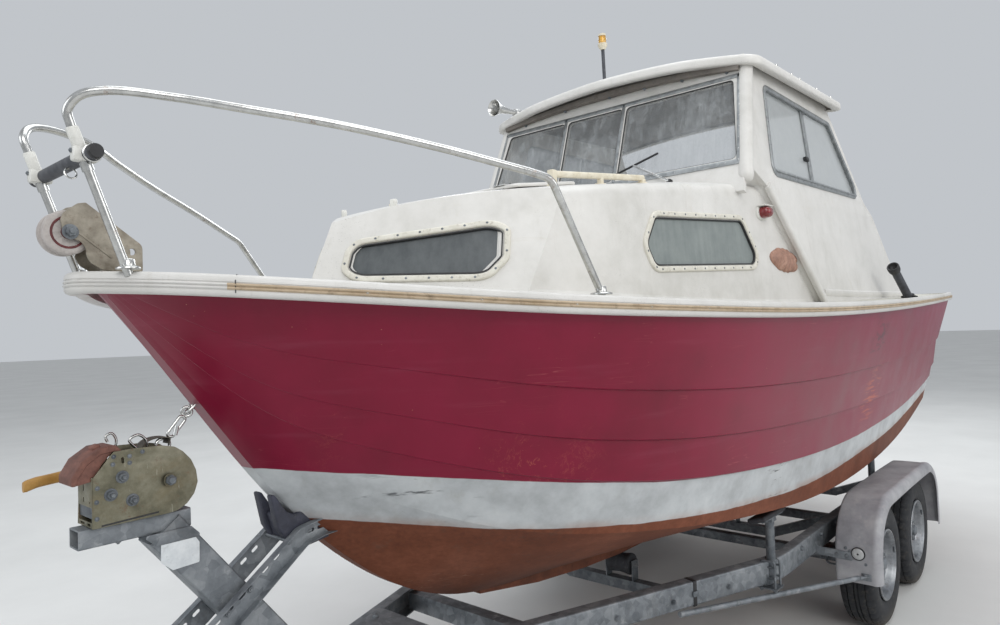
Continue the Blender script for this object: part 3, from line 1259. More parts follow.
def cuddy_section(x, r=.05, drop=0.0, shrink=1.0):
    yb, yt, zb, ze, zc = cuddy_row(x)
    yb, yt = yb * shrink, yt * shrink
    ze, zc = ze - drop, zc - drop

    def roof(f):
        return Vector((x, yt * f, ze + (zc - ze) * (1 - f ** 2.13)))
    a, p, b = Vector((x, yb, zb - .02)), Vector((x, yt, ze)), roof(.80)
    half = [Vector((x, yb, zb - .058)), a] + [a.lerp(p, q) for q in (.3, .6)] + round_corner(a, p, b, r, 7) + [roof(f) for f in (.78, .66, .52, .38, .25, .12)]
    return half + [roof(0.0)] + [Vector((q.x, -q.y, q.z)) for q in reversed(half)]


def make_coachroof():
    xs = [.24 + (2.86 - .24) * k / 52 for k in range(53)]
    rows = [cuddy_section(x) for x in xs]
    n = len(rows[0])
    inner = []
    for x in xs:
        yb, yt, zb, ze, zc = cuddy_row(x)
        q = cuddy_section(x, .035, .022, 1.0)
        inner.append([Vector((x, p.y * max(0.0, 1 - .022 / yt), p.z - (.10 if k in (0, n - 1) else 0.0))) for k, p in enumerate(q)])

    def solid(rs):
        v, f = grid(len(rs), n, lambda i, j: rs[i][j], wrap_v=True)
        f = f + [tuple(range(n)), tuple(range((len(rs) - 1) * n, len(rs) * n))]
        return [Vector((p.x - OX, p.y, p.z)) for p in v], f

    def beyond(t):
        """blocks that take away everything ahead of the nose faces"""
        out = []
        for sg in (1, -1):
            q = Vector((NOSE_N.x, sg * NOSE_N.y, NOSE_N.z))
            u = Vector((0, 0, 1)).cross(q).normalized()
            c = NOSE_P - Vector((OX, 0, 0)) + q * (t + 1.0)
            out.append(moved(block((3.0, 3.0, 2.0), 0), place(c, u, q.cross(u), q)))
        return out
    s = cut(solid(rows), beyond(0.0))
    cutters = [cut(solid(inner), beyond(-.022))]
    cutters = []
    for w in (WIN_F, WIN_A):
        hole = round2(inset(w, .024), .032, 12.0)
        for sg in (1, -1):
            cutters.append(prism(hole, lambda a, b, d, sg=sg: V(a, sg * d, b), .008 if w is WIN_F else .15, 1.0))
    cutters.append(moved(block((.60, 1.45, 1.1), 0), Matrix.Translation(V(.50, 0, 1.95))))
    cutters.append(moved(block((.60, 2.4, .4), 0), Matrix.Translation(V(.50, 0, 2.34))))
    cutters.append(moved(block((.34, .36, .4), 0), hatch_m()))
    shell = cut(s, cutters)
    P = Piece("coachroof_moulding")
    P.put(shell, M["gel"])
    # upstand round the hatch
    P.put(ring_box(.200, .210, .024, -.032, .005, .028), M["gel"])
    # fillet where the coachroof meets the side deck
    for sg in (1, -1):
        path = [Vector((x, cuddy_row(x)[0], cuddy_row(x)[2] + .012)) for x in [.42 + (2.22 - .42) * k / 30 for k in range(31)]]
        path += [Vector((x, on_nose(x, 1.66).y, 1.645 + .045 * (x - 2.25) / .44)) for x in [2.262 + (2.676 - 2.262) * k / 9 for k in range(10)]]
        prof = [(-.004, .020), (.002, .006), (.016, .0), (.022, -.006), (-.006, -.02)]

        def side(i, path=path):
            t = (path[min(i + 1, len(path) - 1)] - path[max(i - 1, 0)]).normalized()
            q = Vector((t.y, -t.x, 0)).normalized()
            return q if q.y > 0 else -q
        q = strip([p - Vector((OX, 0, 0)) for p in path], prof, side, (0, 0, 1))
        P.put(q if sg > 0 else mirror_y(q), M["gel"])
    P.done(replaces=["coachroof"], slot="white_gelcoat", auto=34)


WIN_F = [(2.618, 1.704), (2.577, 1.810), (2.548, 1.846), (2.268, 1.894), (2.232, 1.866), (2.265, 1.760), (2.323, 1.694)]
WIN_A = [(1.690, 1.728), (1.745, 1.830), (1.660, 1.955), (1.020, 1.992), (.860, 1.765)]


def inset(poly, d):
    n = len(poly)
    area = sum(poly[i][0] * poly[(i + 1) % n][1] - poly[(i + 1) % n][0] * poly[i][1] for i in range(n))
    sg = 1.0 if area > 0 else -1.0
    lines = []
    for i in range(n):
        (x0, z0), (x1, z1) = poly[i], poly[(i + 1) % n]
        l = math.hypot(x1 - x0, z1 - z0)
        nx, nz = sg * (z1 - z0) / l, -sg * (x1 - x0) / l
        lines.append((nx, nz, nx * x0 + nz * z0 - d))
    out = []
    for i in range(n):
        a1, b1, c1 = lines[i - 1]
        a2, b2, c2 = lines[i]
        det = a1 * b2 - a2 * b1
        out.append(((c1 * b2 - c2 * b1) / det, (a1 * c2 - a2 * c1) / det))
    return out


def hatch_m():
    return Matrix.Translation(V(1.690, 0, 2.101)) @ Matrix.Rotation(math.radians(8.9), 4, "Y")


def ring_box(hx, hy, wall, z0, z1, r):
    """frame about the hatch centre with rounded corners"""
    o = round2([(-hx, -hy), (hx, -hy), (hx, hy), (-hx, hy)], r, 15.0)
    hx, hy = hx - wall, hy - wall
    i = round2([(-hx, -hy), (hx, -hy), (hx, hy), (-hx, hy)], max(r - wall, .004), 15.0)
    return sheet_plate([o, i], z1 - z0, lambda a, b, w: hatch_m() @ Vector((a, b, z0 + w)), .003, 2)


make_coachroof()


def make_cuddy_windows():
    F, G, S = Piece("cuddy_frames"), Piece("cuddy_panes"), Piece("cuddy_frame_screws")
    for w in (WIN_F, WIN_A):
        line = [Vector((a, b, 0)) for a, b in round2(inset(w, .010), .055, 9.0)]
        line = dense(line, .05, closed=True)
        n = len(line)
        pts, side, up = [], [], []
        for i in range(n):
            a, b = line[i].x, line[i].y
            t2 = (line[(i + 1) % n] - line[i - 1])
            nn = skin_normal(a, b)
            t = Vector((t2.x, 0, t2.y))
            if w is WIN_F:
                q0, q1 = on_nose(line[(i + 1) % n].x, line[(i + 1) % n].y), on_nose(line[i - 1].x, line[i - 1].y)
                t = q0 - q1
            t = (t - nn * t.dot(nn)).normalized()
            pts.append(Vector((a - OX, skin(a, b), b)))
            side.append(nn.cross(t).normalized())
            up.append(nn)
        prof = [(-.0110, -.004), (-.0110, .004), (-.0092, .0074), (-.0045, .0090), (.000, .0078), (.0045, .0090), (.0085, .0074), (.0105, .004), (.0105, -.014), (.006, -.014)]
        s = strip(pts, prof, lambda i: side[i], lambda i: up[i], closed=True)
        F.both(s, M["cream"])
        # black gasket inside the frame
        for sgn in (1,):
            q = (-1 if (pts[0] + side[0] * .03 - Vector((sum(p.x for p in pts) / n, pts[0].y, sum(p.z for p in pts) / n))).length > (pts[0] - side[0] * .03 - Vector((sum(p.x for p in pts) / n, pts[0].y, sum(p.z for p in pts) / n))).length else 1)
            gk = [(q * .0145, .0045), (q * .0185, .0040), (q * .0195, -.004), (q * .0145, -.006)]
            F.both(strip(pts, gk, lambda i: side[i], lambda i: up[i], closed=True), M["gasket"])
        total = 0.0
        nxt = .03
        for i in range(n):
            a, b = pts[i], pts[(i + 1) % n]
            l = (b - a).length
            while nxt < total + l:
                k = (nxt - total) / l
                c = a.lerp(b, k) + up[i] * .0080
                S.both(dome_screw(c, up[i], .0042, .0022, 10), M["galv_rusty"])
                nxt += .072
            total += l
        pane = round2(inset(w, .020), .030, 12.0)
        g = sheet_plate([pane], .005, lambda a, b, wd, w=w: (on_nose(a, b, wd - .011) - Vector((OX, 0, 0))) if w is WIN_F else V(a, cuddy_side(a, b) - .010 + wd, b))
        G.both(g, M["glass"])
    F.done(replaces=["cuddy_window_frames"], slot="cream_plastic", auto=50)
    S.done(slot="galvanised")
    return G


PANES = make_cuddy_windows()

# ================================================================ wheelhouse
TAN = 0.132
LEAN = math.atan(TAN)


def side_at(x, z, out=0.0):
    """point on the port wheelhouse side, out from its outer face"""
    return V(x, .840 - (z - 1.640) * TAN + out * math.cos(LEAN), z + out * math.sin(LEAN))


WH_SIDE = [(1.005, 2.205), (.838, 2.735), (-.330, 2.775), (-.800, 2.240), (-.950, 2.167), (-1.400, 1.652), (.290, 1.620), (.800, 2.120)]
WH_WIN = [(.735, 2.205), (.660, 2.632), (-.330, 2.650), (-.705, 2.262)]
S_O, S_D, S_N = Vector((1.005, 0, 2.215)), Vector((-.3138, 0, .9495)), Vector((.9495, 0, .3138))
S_L = .4876


def scr(a, b, w=0.0):
    """point on the windscreen plane: a to port, b up the slope, w out of it"""
    p = S_O + S_D * b + S_N * w
    return V(p.x, a, p.z)


def scr_bar(a0, b0, a1, b1, w, t, mat, piece, lift=0.0, r=.0015):
    p0, p1 = scr(a0, b0, lift + t / 2), scr(a1, b1, lift + t / 2)
    piece.put(bar(p0, p1, w, t, up=S_N, r=r), mat)


def make_wheelhouse():
    P = Piece("wheelhouse_moulding")
    rad = [.02, 0, 0, .07, .05, .03, .02, .03]
    outline = [(p.x, p.y) for p in fillet([Vector((a, b, 0)) for a, b in WH_SIDE], rad, 10.0, closed=True)]
    hole = round2(WH_WIN, .045, 9.0)
    s = sheet_plate([outline, hole], .025, lambda a, b, w: side_at(a, b, w - .025), .004, 2)
    P.both(s, M["gel"])
    # rounded ridge along the front edge
    e0, e1 = Vector((.828, 2.140)), Vector((.285, 1.604))
    d = (e1 - e0).normalized()
    q = Vector((-d.y, d.x))
    prof = []
    for k in range(9):
        t = math.pi * k / 8
        prof.append((.021 * math.cos(t), .013 * math.sin(t) ** .8 if k not in (0, 8) else 0.0))
    pts = [side_at(*(e0.lerp(e1, k / 14))) for k in range(15)]
    nrm = (side_at(0, 2, 1) - side_at(0, 2, 0)).normalized()
    sd = (side_at(q.x, 2 + q.y) - side_at(0, 2)).normalized()
    P.both(strip(pts, [(a, b) for a, b in prof] + [(-.021, -.012), (.021, -.012)], sd, nrm), M["gel"])
    # moulded return from the front edge of the side in to the coachroof
    way = [Vector(q2) for q2 in ((1.000, 2.207), (.960, 2.188), (.920, 2.171), (.880, 2.155), (.845, 2.142), (.810, 2.122))]
    way += [Vector((.800, 2.112)).lerp(Vector((.288, 1.606)), k / 30) for k in range(31)]
    rows = []
    for p in way:
        a = side_at(p.x, p.y, -.003)
        b, bn = hit("coachroof", (a.x + .030, 1.3, p.y), Vector((0, -1, 0)))
        if b is None or b.y < .5 or a.y - b.y > .13:
            b, bn = hit("coachroof", (a.x + .006, a.y - .075, p.y + .12), Vector((0, 0, -1)))
        if b is None:
            continue
        b = b - bn * .003
        rows.append([a.lerp(b, t) + bn * (.006 * math.sin(math.pi * t)) * (1 if t < 1 else 0) for t in (0, .15, .35, .6, .8, 1.0)])
    vs = [q2 for r in rows for q2 in r]
    P.both((vs, [(k * 6 + j, k * 6 + j + 1, k * 6 + j + 7, k * 6 + j + 6) for k in range(len(rows) - 1) for j in range(5)]), M["gel"])
    # lower moulding where the side meets the gunwale, and the aft edge roll
    pts = [side_at(x, 1.672 + .014 * max(0.0, (-.2 - x)), 0) for x in [-1.36 + (1.66 * k / 30) for k in range(31)]]
    P.both(strip(pts, [(.016, 0), (.010, .007), (-.004, .009), (-.018, .004), (-.018, -.006), (.016, -.006)], (0, 0, 1), nrm), M["gel"])
    edge = [Vector((a, b, 0)) for a, b in [(-.345, 2.735), (-.800, 2.240), (-.950, 2.167), (-1.395, 1.658)]]
    edge = dense(fillet(edge, [0, .07, .05, 0], 8.0), .06)
    P.both(tube([side_at(p.x, p.y, -.0125) for p in edge], .0155, 12), M["gel"])
    # windscreen wall with three openings
    hb, ht = .762 - .026, .704 - .026
    outer = [(-hb - .018, -.13), (hb + .018, -.13), (ht, S_L + .03), (-ht, S_L + .03)]
    holes = []
    edges = [(-hb + .030, -.262 - .012), (-.262 + .012, .092 - .012), (.092 + .012, hb - .030)]
    for a, b in edges:
        ka = .925 if abs(a) > .4 else 1.0
        kb = .925 if abs(b) > .4 else 1.0
        holes.append(round2([(a, .030), (b, .030), (b * kb, S_L - .052), (a * ka, S_L - .052)], .022, 12.0))
    P.put(sheet_plate([outer] + holes, .028, lambda a, b, w: scr(a, b, w - .028), .003, 2), M["gel"])
    # rounded white corner posts
    for sg in (1, -1):
        p0, p1 = scr(sg * .746, -.078, -.026), scr(sg * .690, S_L + .02, -.026)
        q0 = (p1 - p0).normalized()
        P.put(tube([p0, p0 + q0 * .004, p0 + q0 * .014, p0 + q0 * .032] + [p0.lerp(p1, k / 6) for k in range(1, 7)], [.006, .019, .029, .034] + [.034] * 6, 20), M["gel"])
    P.done(replaces=["wheelhouse_shell"], slot="white_gelcoat", auto=36)

    A = Piece("windscreen_trim")
    for i, y in enumerate((-.262, .092)):
        scr_bar(y, .008, y - .002, S_L - .03, .016, .006, M["alu"], A, -.001)
        for b in (.02, .16, .30, .44):
            A.put(dome_screw(scr(y, b, .0048), S_N, .0034, .0016, 10), M["galv_rusty"])
    scr_bar(-.722, .012, .722, .012, .024, .005, M["alu"], A)
    scr_bar(-.688, S_L - .038, .688, S_L - .038, .020, .005, M["alu"], A)
    for sg in (1, -1):
        scr_bar(sg * .718, .010, sg * .680, S_L - .03, .018, .005, M["alu"], A)
        for k in range(9):
            t = .02 + k * .055
            A.put(dome_screw(scr(sg * (.718 - .038 * t / S_L), t, .0045), S_N, .0030, .0015, 8), M["steel_worn"])
    for k in range(12):
        A.put(dome_screw(scr(-.66 + k * .12, .012, .0045), S_N, .0030, .0015, 8), M["steel_worn"])
    # rubber seals round the panes
    for h in holes:
        lp = dense([Vector((a, b, 0)) for a, b in h], .06, closed=True)
        A.put(tube([scr(p.x, p.y, -.006) for p in lp], .0042, 6, closed=True), M["gasket"])
    # wiper arms, parked at the foot of the outer panes
    for y, lean in ((.40, .35), (-.50, .35)):
        A.put(lathe([(.0, .016), (.010, .014), (.013, .006), (.014, 0)], scr(y, -.03, 0), S_N, 16), M["dark"])
        p0, p1 = scr(y, -.03, .014), scr(y - .20, .085, .016)
        A.put(bar(p0, p1, .009, .005, up=S_N, r=.001), M["steel_worn"])
        A.put(bar(scr(y - .33, .045, .010), scr(y - .075, .128, .010), .007, .010, up=S_N, r=.002), M["dark"])
    A.done(slot="galvanised", auto=40)
    for h in holes:
        PANES.put(sheet_plate([h], .006, lambda a, b, w: scr(a, b, w - .017)), M["glass"])

    # side windows: thin alloy frame, sliding pane, meeting strip
    B = Piece("side_window_frames")
    lp = dense([Vector((a, b, 0)) for a, b in hole], .06, closed=True)
    n = len(lp)
    pts = [side_at(p.x, p.y) for p in lp]
    sides = []
    for i in range(n):
        t = (pts[(i + 1) % n] - pts[i - 1]).normalized()
        sides.append(nrm.cross(t).normalized())
    pr = [(-.012, -.004), (-.012, .004), (-.009, .0065), (.009, .0065), (.012, .004), (.012, -.016), (.004, -.020), (-.004, -.020)]
    B.both(strip(pts, pr, lambda i: sides[i], nrm, closed=True), M["alu"])
    tot, nxt = 0.0, .05
    for i in range(n):
        l = (pts[(i + 1) % n] - pts[i]).length
        while nxt < tot + l:
            c = pts[i].lerp(pts[(i + 1) % n], (nxt - tot) / l) + nrm * .0062
            B.both(dome_screw(c, nrm, .0032, .0016, 8), M["galv_rusty"])
            nxt += .115
        tot += l
    for x0, x1, dpt in ((.150, .128, -.010), (.105, .083, -.016)):
        B.both(bar(side_at(x0, 2.222, dpt), side_at(x1, 2.640, dpt), .020, .012, up=nrm, r=.002), M["alu"])
    # lower slide with its catch
    B.both(bar(side_at(.70, 2.222, .004), side_at(-.64, 2.268, .004), .010, .012, up=nrm, r=.002), M["alu"])
    B.both(moved(block((.045, .018, .022), .004), place(side_at(.19, 2.36, -.002), Vector((1, 0, 0)), nrm, Vector((1, 0, 0)).cross(nrm))), M["dark"])
    B.done(slot="galvanised", auto=40)
    PANES.both(sheet_plate([round2(inset(WH_WIN, -.004), .045, 9.0)], .005, lambda a, b, w: side_at(a, b, w - .017)), M["glass"])


make_wheelhouse()
PANES.done(replaces=["window_panes"], slot="pane", auto=40)


def make_roof():
    X0, X1, H, T, Z, CR = -.435, .905, .768, .046, 2.672, .055
    plan = [(X0, -H + .0), (X1 - .03, -H), (X1 + .040, -H * .58), (X1 + .062, 0), (X1 + .040, H * .58), (X1 - .03, H), (X0, H)]
    line = fillet([Vector((a, b, 0)) for a, b in plan], [.07, .085, .5, .8, .5, .085, .07], 6.0, closed=True)
    line = dense(line, .035, closed=True)
    n = len(line)
    nr = []
    for i in range(n):
        t = line[(i + 1) % n] - line[i - 1]
        q = Vector((t.y, -t.x, 0)).normalized()
        nr.append(q)
    ctr = Vector(((X0 + X1) / 2, 0, 0))
    if (line[0] - ctr).dot(nr[0]) < 0:
        nr = [-q for q in nr]

    def lift(x, y):
        return CR * (1 - min(abs(y) / H, 1.0) ** 2) + (X1 - x) * math.tan(math.radians(2.6))
    rings = []

    def ring(insetd, dz, k=1.0):
        row = []
        for i in range(n):
            p = line[i] - nr[i] * insetd
            p = ctr + (p - ctr) * k
            row.append(V(p.x, p.y, Z + dz + lift(p.x, p.y)))
        rings.append(row)
    for k in (.0001, .3, .6, .8):
        ring(.10, .022, k)
    ring(.075, .020)
    ring(.052, .018)
    ring(.046, .006)
    ring(.040, .000)
    ring(.010, .000)
    ring(.003, .003)
    ring(.000, .010)
    ring(.000, T - .018)
    ring(.003, T - .008)
    ring(.010, T - .002)
    ring(.024, T)
    ring(.060, T + .001)
    ring(.100, T + .004, 1.0)
    for k in (.8, .6, .4, .2, .0001):
        ring(.100, T + .004, k)
    s = grid(len(rings), n, lambda i, j: rings[i][j], wrap_v=True)
    m = len(rings)
    P = Piece("wheelhouse_top")
    P.put(subset(s, lambda i, f: i // n >= 6), M["gel_roof"])
    P.put(subset(s, lambda i, f: i // n < 6), M["under"])
    P.done(replaces=["wheelhouse_roof"], slot="white_gelcoat", auto=50)

    def top(x, y):
        return V(x, y, Z + T + lift(x, y))
    F = Piece("roof_fittings")
    # strip under the front overhang, with its bolts
    pts = [V(X1 - .052, y, Z + lift(X1 - .05, y) - .010) for y in [-.68 + 1.36 * k / 20 for k in range(21)]]
    F.put(strip(pts, [(-.028, -.012), (.028, -.012), (.028, .012), (-.028, .012)], (1, 0, 0), (0, 0, 1)), M["under"])
    for y in (-.55, -.28, 0.0, .20, .40, .62):
        F.put(bolt(V(X1 - .050, y, Z + lift(X1 - .05, y) - .022), (0, 0, -1), .008), M["galv_rusty"])
    # small block and clips on the port front corner
    F.put(moved(block((.07, .035, .022), .004), Matrix.Translation(top(.76, .66) + Vector((0, 0, .012)))), M["white_pl"])
    for x, y in ((.55, .735), (.34, .735), (.22, .735), (-.05, .735), (-.30, .735)):
        F.both(lathe([(.013, 0), (.013, .004), (.008, .008), (.007, .018), (.0, .020)], top(x, y), (0, 0, 1), 14), M["steel_worn"])
    # mushroom vent and a covered seam
    F.put(lathe([(.05, 0), (.05, .012), (.038, .018), (.038, .03), (.085, .034), (.088, .040), (.06, .055), (.0, .062)], top(.10, .32), (0, 0, 1), 28), M["white_pl"])
    F.done(slot="lamp_white", auto=40)
    return top


roof_top = make_roof()


# ================================================================ pulpit, bow gear
def make_pulpit():
    P = Piece("pulpit")
    leg = [(3.266, .154, 1.700), (3.384, .154, 2.035)]
    top = [(3.392, .158, 2.066), (3.374, .178, 2.098), (3.325, .208, 2.114), (3.205, .272, 2.110), (3.085, .375, 2.085), (2.925, .505, 2.052), (2.720, .642, 2.006), (2.520, .770, 1.953)]
    line = [V(*p) for p in leg] + catmull([V(*leg[1])] + [V(*p) for p in top], 6)[1:]
    tail = fillet([V(2.520, .770, 1.953), V(2.462, .803, 1.936), V(2.236, .803, 1.630)], .055, 9.0)
    line = line + tail[1:]
    P.both(tube(line, .0105, 16), M["steel_worn"])
    # pale sleeves below the bend
    d = (V(3.384, .154, 2.035) - V(3.266, .154, 1.700)).normalized()
    top_leg = V(3.384, .154, 2.035)
    P.both(tube([top_leg - d * .066, top_leg - d * .062, top_leg - d * .008, top_leg - d * .004], [.0125, .0142, .0142, .0125], 18), M["white_pl"])
    P.both(tube([top_leg - d * .105, top_leg - d * .085], .0135, 18), M["steel"])
    # feet
    for x, y, z, r, ax in ((3.268, .154, 1.7155, .027, (0, 0, 1)), (2.240, .803, 1.634, .032, (0, 0, 1))):
        P.both(lathe([(.0, .0), (r, 0), (r, .003), (r * .93, .0055), (.016, .008), (.0145, .022), (.0125, .024)], V(x, y, z), ax, 28), M["steel"])
        for k in range(3):
            a = 2.1 * k + .4
            P.both(dome_screw(V(x + r * .72 * math.cos(a), y + r * .72 * math.sin(a), z + .0055), ax, .0036, .002), M["steel"])
    P.done(replaces=["pulpit_rails"], slot="stainless", auto=40)
    C = Piece("crossbar")
    zc, xc = 1.972, 3.352
    C.put(tube([V(xc, y, zc) for y in (-.205, -.1, 0, .1, .205)], .0165, 20), M["grey_tube"])
    for sg in (1, -1):
        C.put(lathe([(.0, 0), (.015, .0), (.0172, .004), (.0172, .014), (.0165, .016)], V(xc, sg * .214, zc), (0, -sg, 0), 20), M["dark"])
        # clamp round the leg
        C.put(moved(block((.052, .030, .034), .006), Matrix.Translation(V(xc + .006, sg * .154, zc))), M["white_pl"])
        C.put(bolt(V(xc + .030, sg * .154, zc + .006), (1, 0, 0), .006), M["galv_rusty"])
        C.put(torus(V(xc - .002, sg * .182, zc), (0, 1, 0), .0185, .0026, 24, 8), M["steel_worn"])
    C.put(torus(V(xc + .004, .06, zc - .026), (0, 1, .3), .013, .0022, 22, 8), M["steel_worn"])
    C.done(replaces=["pulpit_crossbar"], slot="grey_tube", auto=40)


make_pulpit()


def make_roller():
    c = V(3.353, 0, 1.810)
    P = Piece("roller_tyre")
    prof = [(.0135, -.027), (.036, -.027), (.044, -.0275), (.051, -.026), (.0538, -.022), (.0540, -.014), (.0525, -.0095), (.047, -.006), (.0425, -.0025), (.0420, .0), (.0425, .0025), (.047, .006), (.0525, .0095), (.0540, .014), (.0538, .022), (.051, .026), (.044, .0275), (.036, .027), (.0135, .027)]
    P.put(lathe(prof, c, (0, 1, 0), 56), M["pale_rubber"])
    P.done(body="bow_roller_body", replaces=["bow_roller"], slot="grey_rubber", auto=50)
    H = Piece("roller_hub")
    for sg in (1, -1):
        H.put(lathe([(.009, .0272), (.016, .0285), (.0165, .0262), (.033, .0262), (.035, .0290), (.0385, .0290), (.0395, .0270)], c, (0, sg, 0), 48), M["hub_red"])
        for k in range(12):
            a = 2 * math.pi * k / 12
            u = Vector((math.cos(a), 0, math.sin(a)))
            H.put(bar(c + u * .0165 + Vector((0, sg * .0268, 0)), c + u * .0350 + Vector((0, sg * .0268, 0)), .0028, .0022, up=(0, 1, 0), r=.0005), M["pale_rubber"])
    H.done(body="bow_roller_body", slot="grey_rubber", auto=40)
    B = Piece("roller_bracket")
    out = [(3.318, 1.884), (3.336, 1.880), (3.366, 1.856), (3.374, 1.838), (3.368, 1.812), (3.350, 1.796), (3.330, 1.788), (3.319, 1.772), (3.319, 1.756), (3.310, 1.738), (3.285, 1.722), (3.200, 1.716), (3.188, 1.722), (3.188, 1.788)]
    rad = [.006, .012, .02, .02, .02, .02, .02, .014, .014, .02, .02, .006, .008, .02]
    o = [(p.x, p.y) for p in fillet([Vector((a, b, 0)) for a, b in out], rad, 10.0, closed=True)]
    B.both(sheet_plate([o, circle2(3.214, 1.770, .0085, 20)], .0045, xz(.0355), .0008, 2), M["bracket"])
    B.put(box_at(V(3.190, -.0385, 1.716), V(3.284, .0385, 1.7215), .002), M["bracket"])
    # pressed crease from the axle aft
    B.both(bar(V(3.340, .0408, 1.812), V(3.262, .0405, 1.752), .0045, .0022, up=(0, 1, 0), r=.001), M["bracket"])
    B.put(tube([V(3.353, -.046, 1.810), V(3.353, .046, 1.810)], .0078, 18), M["galv_rusty"])
    for sg in (1, -1):
        B.put(disc(.0185, .0022, V(3.353, sg * .0402, 1.810), (0, sg, 0), 28, .0006), M["galv_rusty"])
        B.put(hexnut(.0215, .010, V(3.353, sg * .0424, 1.810), (0, sg, 0), .2), M["galv_rusty"])
    for x in (3.225, 3.262):
        for y in (-.018, .018):
            B.put(bolt(V(x, y, 1.7215), (0, 0, 1), .008), M["steel"])
    B.done(replaces=["bow_roller_bracket"], slot="stainless", auto=38)


make_roller()


def make_lights():
    # horn on its foot
    P = Piece("horn_trumpet")
    a0, a1 = V(.850, -.640, 2.775), V(1.010, -.650, 2.769)
    ax = (a1 - a0).normalized()
    L = (a1 - a0).length
    pr = [(.0, .004), (.012, .006), (.012, .0), (.0145, -.010), (.0145, .02), (.017, .06), (.023, .105), (.032, .135), (.0435, L - .006), (.0462, L), (.0450, L + .003), (.0425, L), (.031, L - .022), (.018, L - .06), (.010, L - .10), (.0, L - .10)]
    P.put(lathe(pr[3:], a0, ax, 36), M["steel"])
    P.put(lathe([(.0, -.085), (.018, -.084), (.0225, -.078), (.0235, -.07), (.0235, -.012), (.0215, -.004), (.0145, .0)], a0, ax, 30), M["steel"])
    f = roof_top(.81, -.64)
    P.put(tube([f + Vector((0, 0, -.004)), f + Vector((0, 0, .045))], .010, 14), M["steel_worn"])
    P.put(disc(.030, .005, f - Vector((0, 0, .001)), (0, 0, 1), 26, .0015), M["steel_worn"])
    P.done(replaces=["horn"], slot="stainless", auto=45)
    # mast light
    Q = Piece("mast_lamp")
    b = roof_top(.80, -.06)
    tilt = Vector((.02, -.012, 1)).normalized()
    Q.put(lathe([(.0, 0), (.034, 0), (.034, .005), (.026, .010), (.014, .014), (.0115, .030), (.009, .034)], b, tilt, 24), M["dark"])
    L = (3.070 - .052) - b.z
    Q.put(tube([b + tilt * .03, b + tilt * (L - .030)], .0088, 16), M["grey_tube"])
    t = b + tilt * (L - .034)
    Q.put(lathe([(.0, 0), (.012, .0), (.0185, .010), (.0245, .020), (.0250, .030), (.0225, .032), (.0, .032)], t, tilt, 28), M["cream_clean"])
    Q.put(lathe([(.0195, .031), (.0205, .036), (.0205, .066), (.0185, .072), (.0, .075)], t, tilt, 28), M["amber"])
    Q.put(lathe([(.0205, .070), (.0215, .073), (.0195, .081), (.010, .085), (.0, .0855)], t, tilt, 28), M["cream_clean"])
    Q.done(replaces=["mast_light"], slot="lamp_white", auto=45)
    # side lights
    N = Piece("side_lights")
    for sg, lens in ((1, "red_lens"), (-1, "green_lens")):
        c = Vector((.838, cuddy_side(.838, 2.017), 2.017))
        n0 = side_normal(.838, 2.017)
        o = V(c.x, sg * c.y, c.z)
        n1 = Vector((n0.x, sg * n0.y, n0.z))
        u = Vector((1, 0, 0)) - n1 * n1.x
        u.normalize()
        w = n1.cross(u)
        m = place(o, u, w, n1)
        rings = []
        for sx, sz, h in ((.050, .033, -.004), (.050, .033, .004), (.047, .030, .008), (.036, .0245, .009), (.0355, .024, .028), (.030, .020, .040), (.018, .012, .048)):
            rings.append([m @ Vector((sx * math.copysign(abs(math.cos(t)) ** .75, math.cos(t)), sz * math.copysign(abs(math.sin(t)) ** .75, math.sin(t)), h)) for t in [2 * math.pi * k / 36 for k in range(36)]])
        s = grid(7, 36, lambda i, j: rings[i][j], wrap_v=True)
        s = (s[0], s[1] + [tuple(range(6 * 36, 7 * 36))])
        N.put(subset(s, lambda i, f: i < 36 * 3), M["white_pl"])
        N.put(subset(s, lambda i, f: i >= 36 * 3), M[lens])
        # hood over the lens
        N.put(moved(block((.080, .006, .034), .002), place(o + n1 * .022 + Vector((0, 0, .0275)), u, w, n1)), M["white_pl"])
        for q in (-.041, .041):
            N.put(dome_screw(o + u * q + n1 * .0075, n1, .003, .0015, 10), M["steel_worn"])
    N.done(replaces=["nav_lights"], slot="lamp_white", auto=50)


make_lights()


def make_ornament():
    """a plain scallop-and-fan relief on an oval back"""
    P = Piece("ornament")
    cx, cz, ang = .655, 1.815, math.radians(4)
    n, m = 72, 18

    def r_of(t):
        c, s = math.cos(t), math.sin(t)
        # body to the front, a notched fan behind
        base = 1.0 / math.sqrt((c / .142) ** 2 + (s / .054) ** 2)
        fan = 1.0 + .10 * math.exp(-((t - math.pi) / .34) ** 2) * (1 - 1.9 * math.exp(-((t - math.pi) / .10) ** 2))
        return base * fan * (1 + .035 * math.cos(9 * t))

    def fn(i, j):
        t, k = 2 * math.pi * j / n, i / (m - 1)
        r = r_of(t) * k
        a, b = r * math.cos(t), r * math.sin(t)
        x, z = cx + a * math.cos(ang) - b * math.sin(ang), cz + a * math.sin(ang) + b * math.cos(ang)
        h = .020 * (1 - k ** 2.4) ** .7 if k < 1 else 0.0
        h += .0022 * math.cos(a * 170 + 2.2 * math.cos(b * 60)) * (1 - k) ** .3 * (1 if k < .93 else 0)
        h += .006 * math.exp(-((a - .085) ** 2 + (b - .012) ** 2) / .00012) * (1 if k < .95 else 0)
        return V(x, cuddy_side(x, z) + .003 + h, z)
    rows = grid(m, n, fn, wrap_v=True)
    rim = grid(2, n, lambda i, j: (fn(m - 1, j) + Vector((0, -.010 * i, 0))), wrap_v=True)
    P.put(rows, M["terracotta"])
    P.put(rim, M["terracotta"])
    P.done(replaces=["wall_ornament"], slot="terracotta", auto=60)


make_ornament()


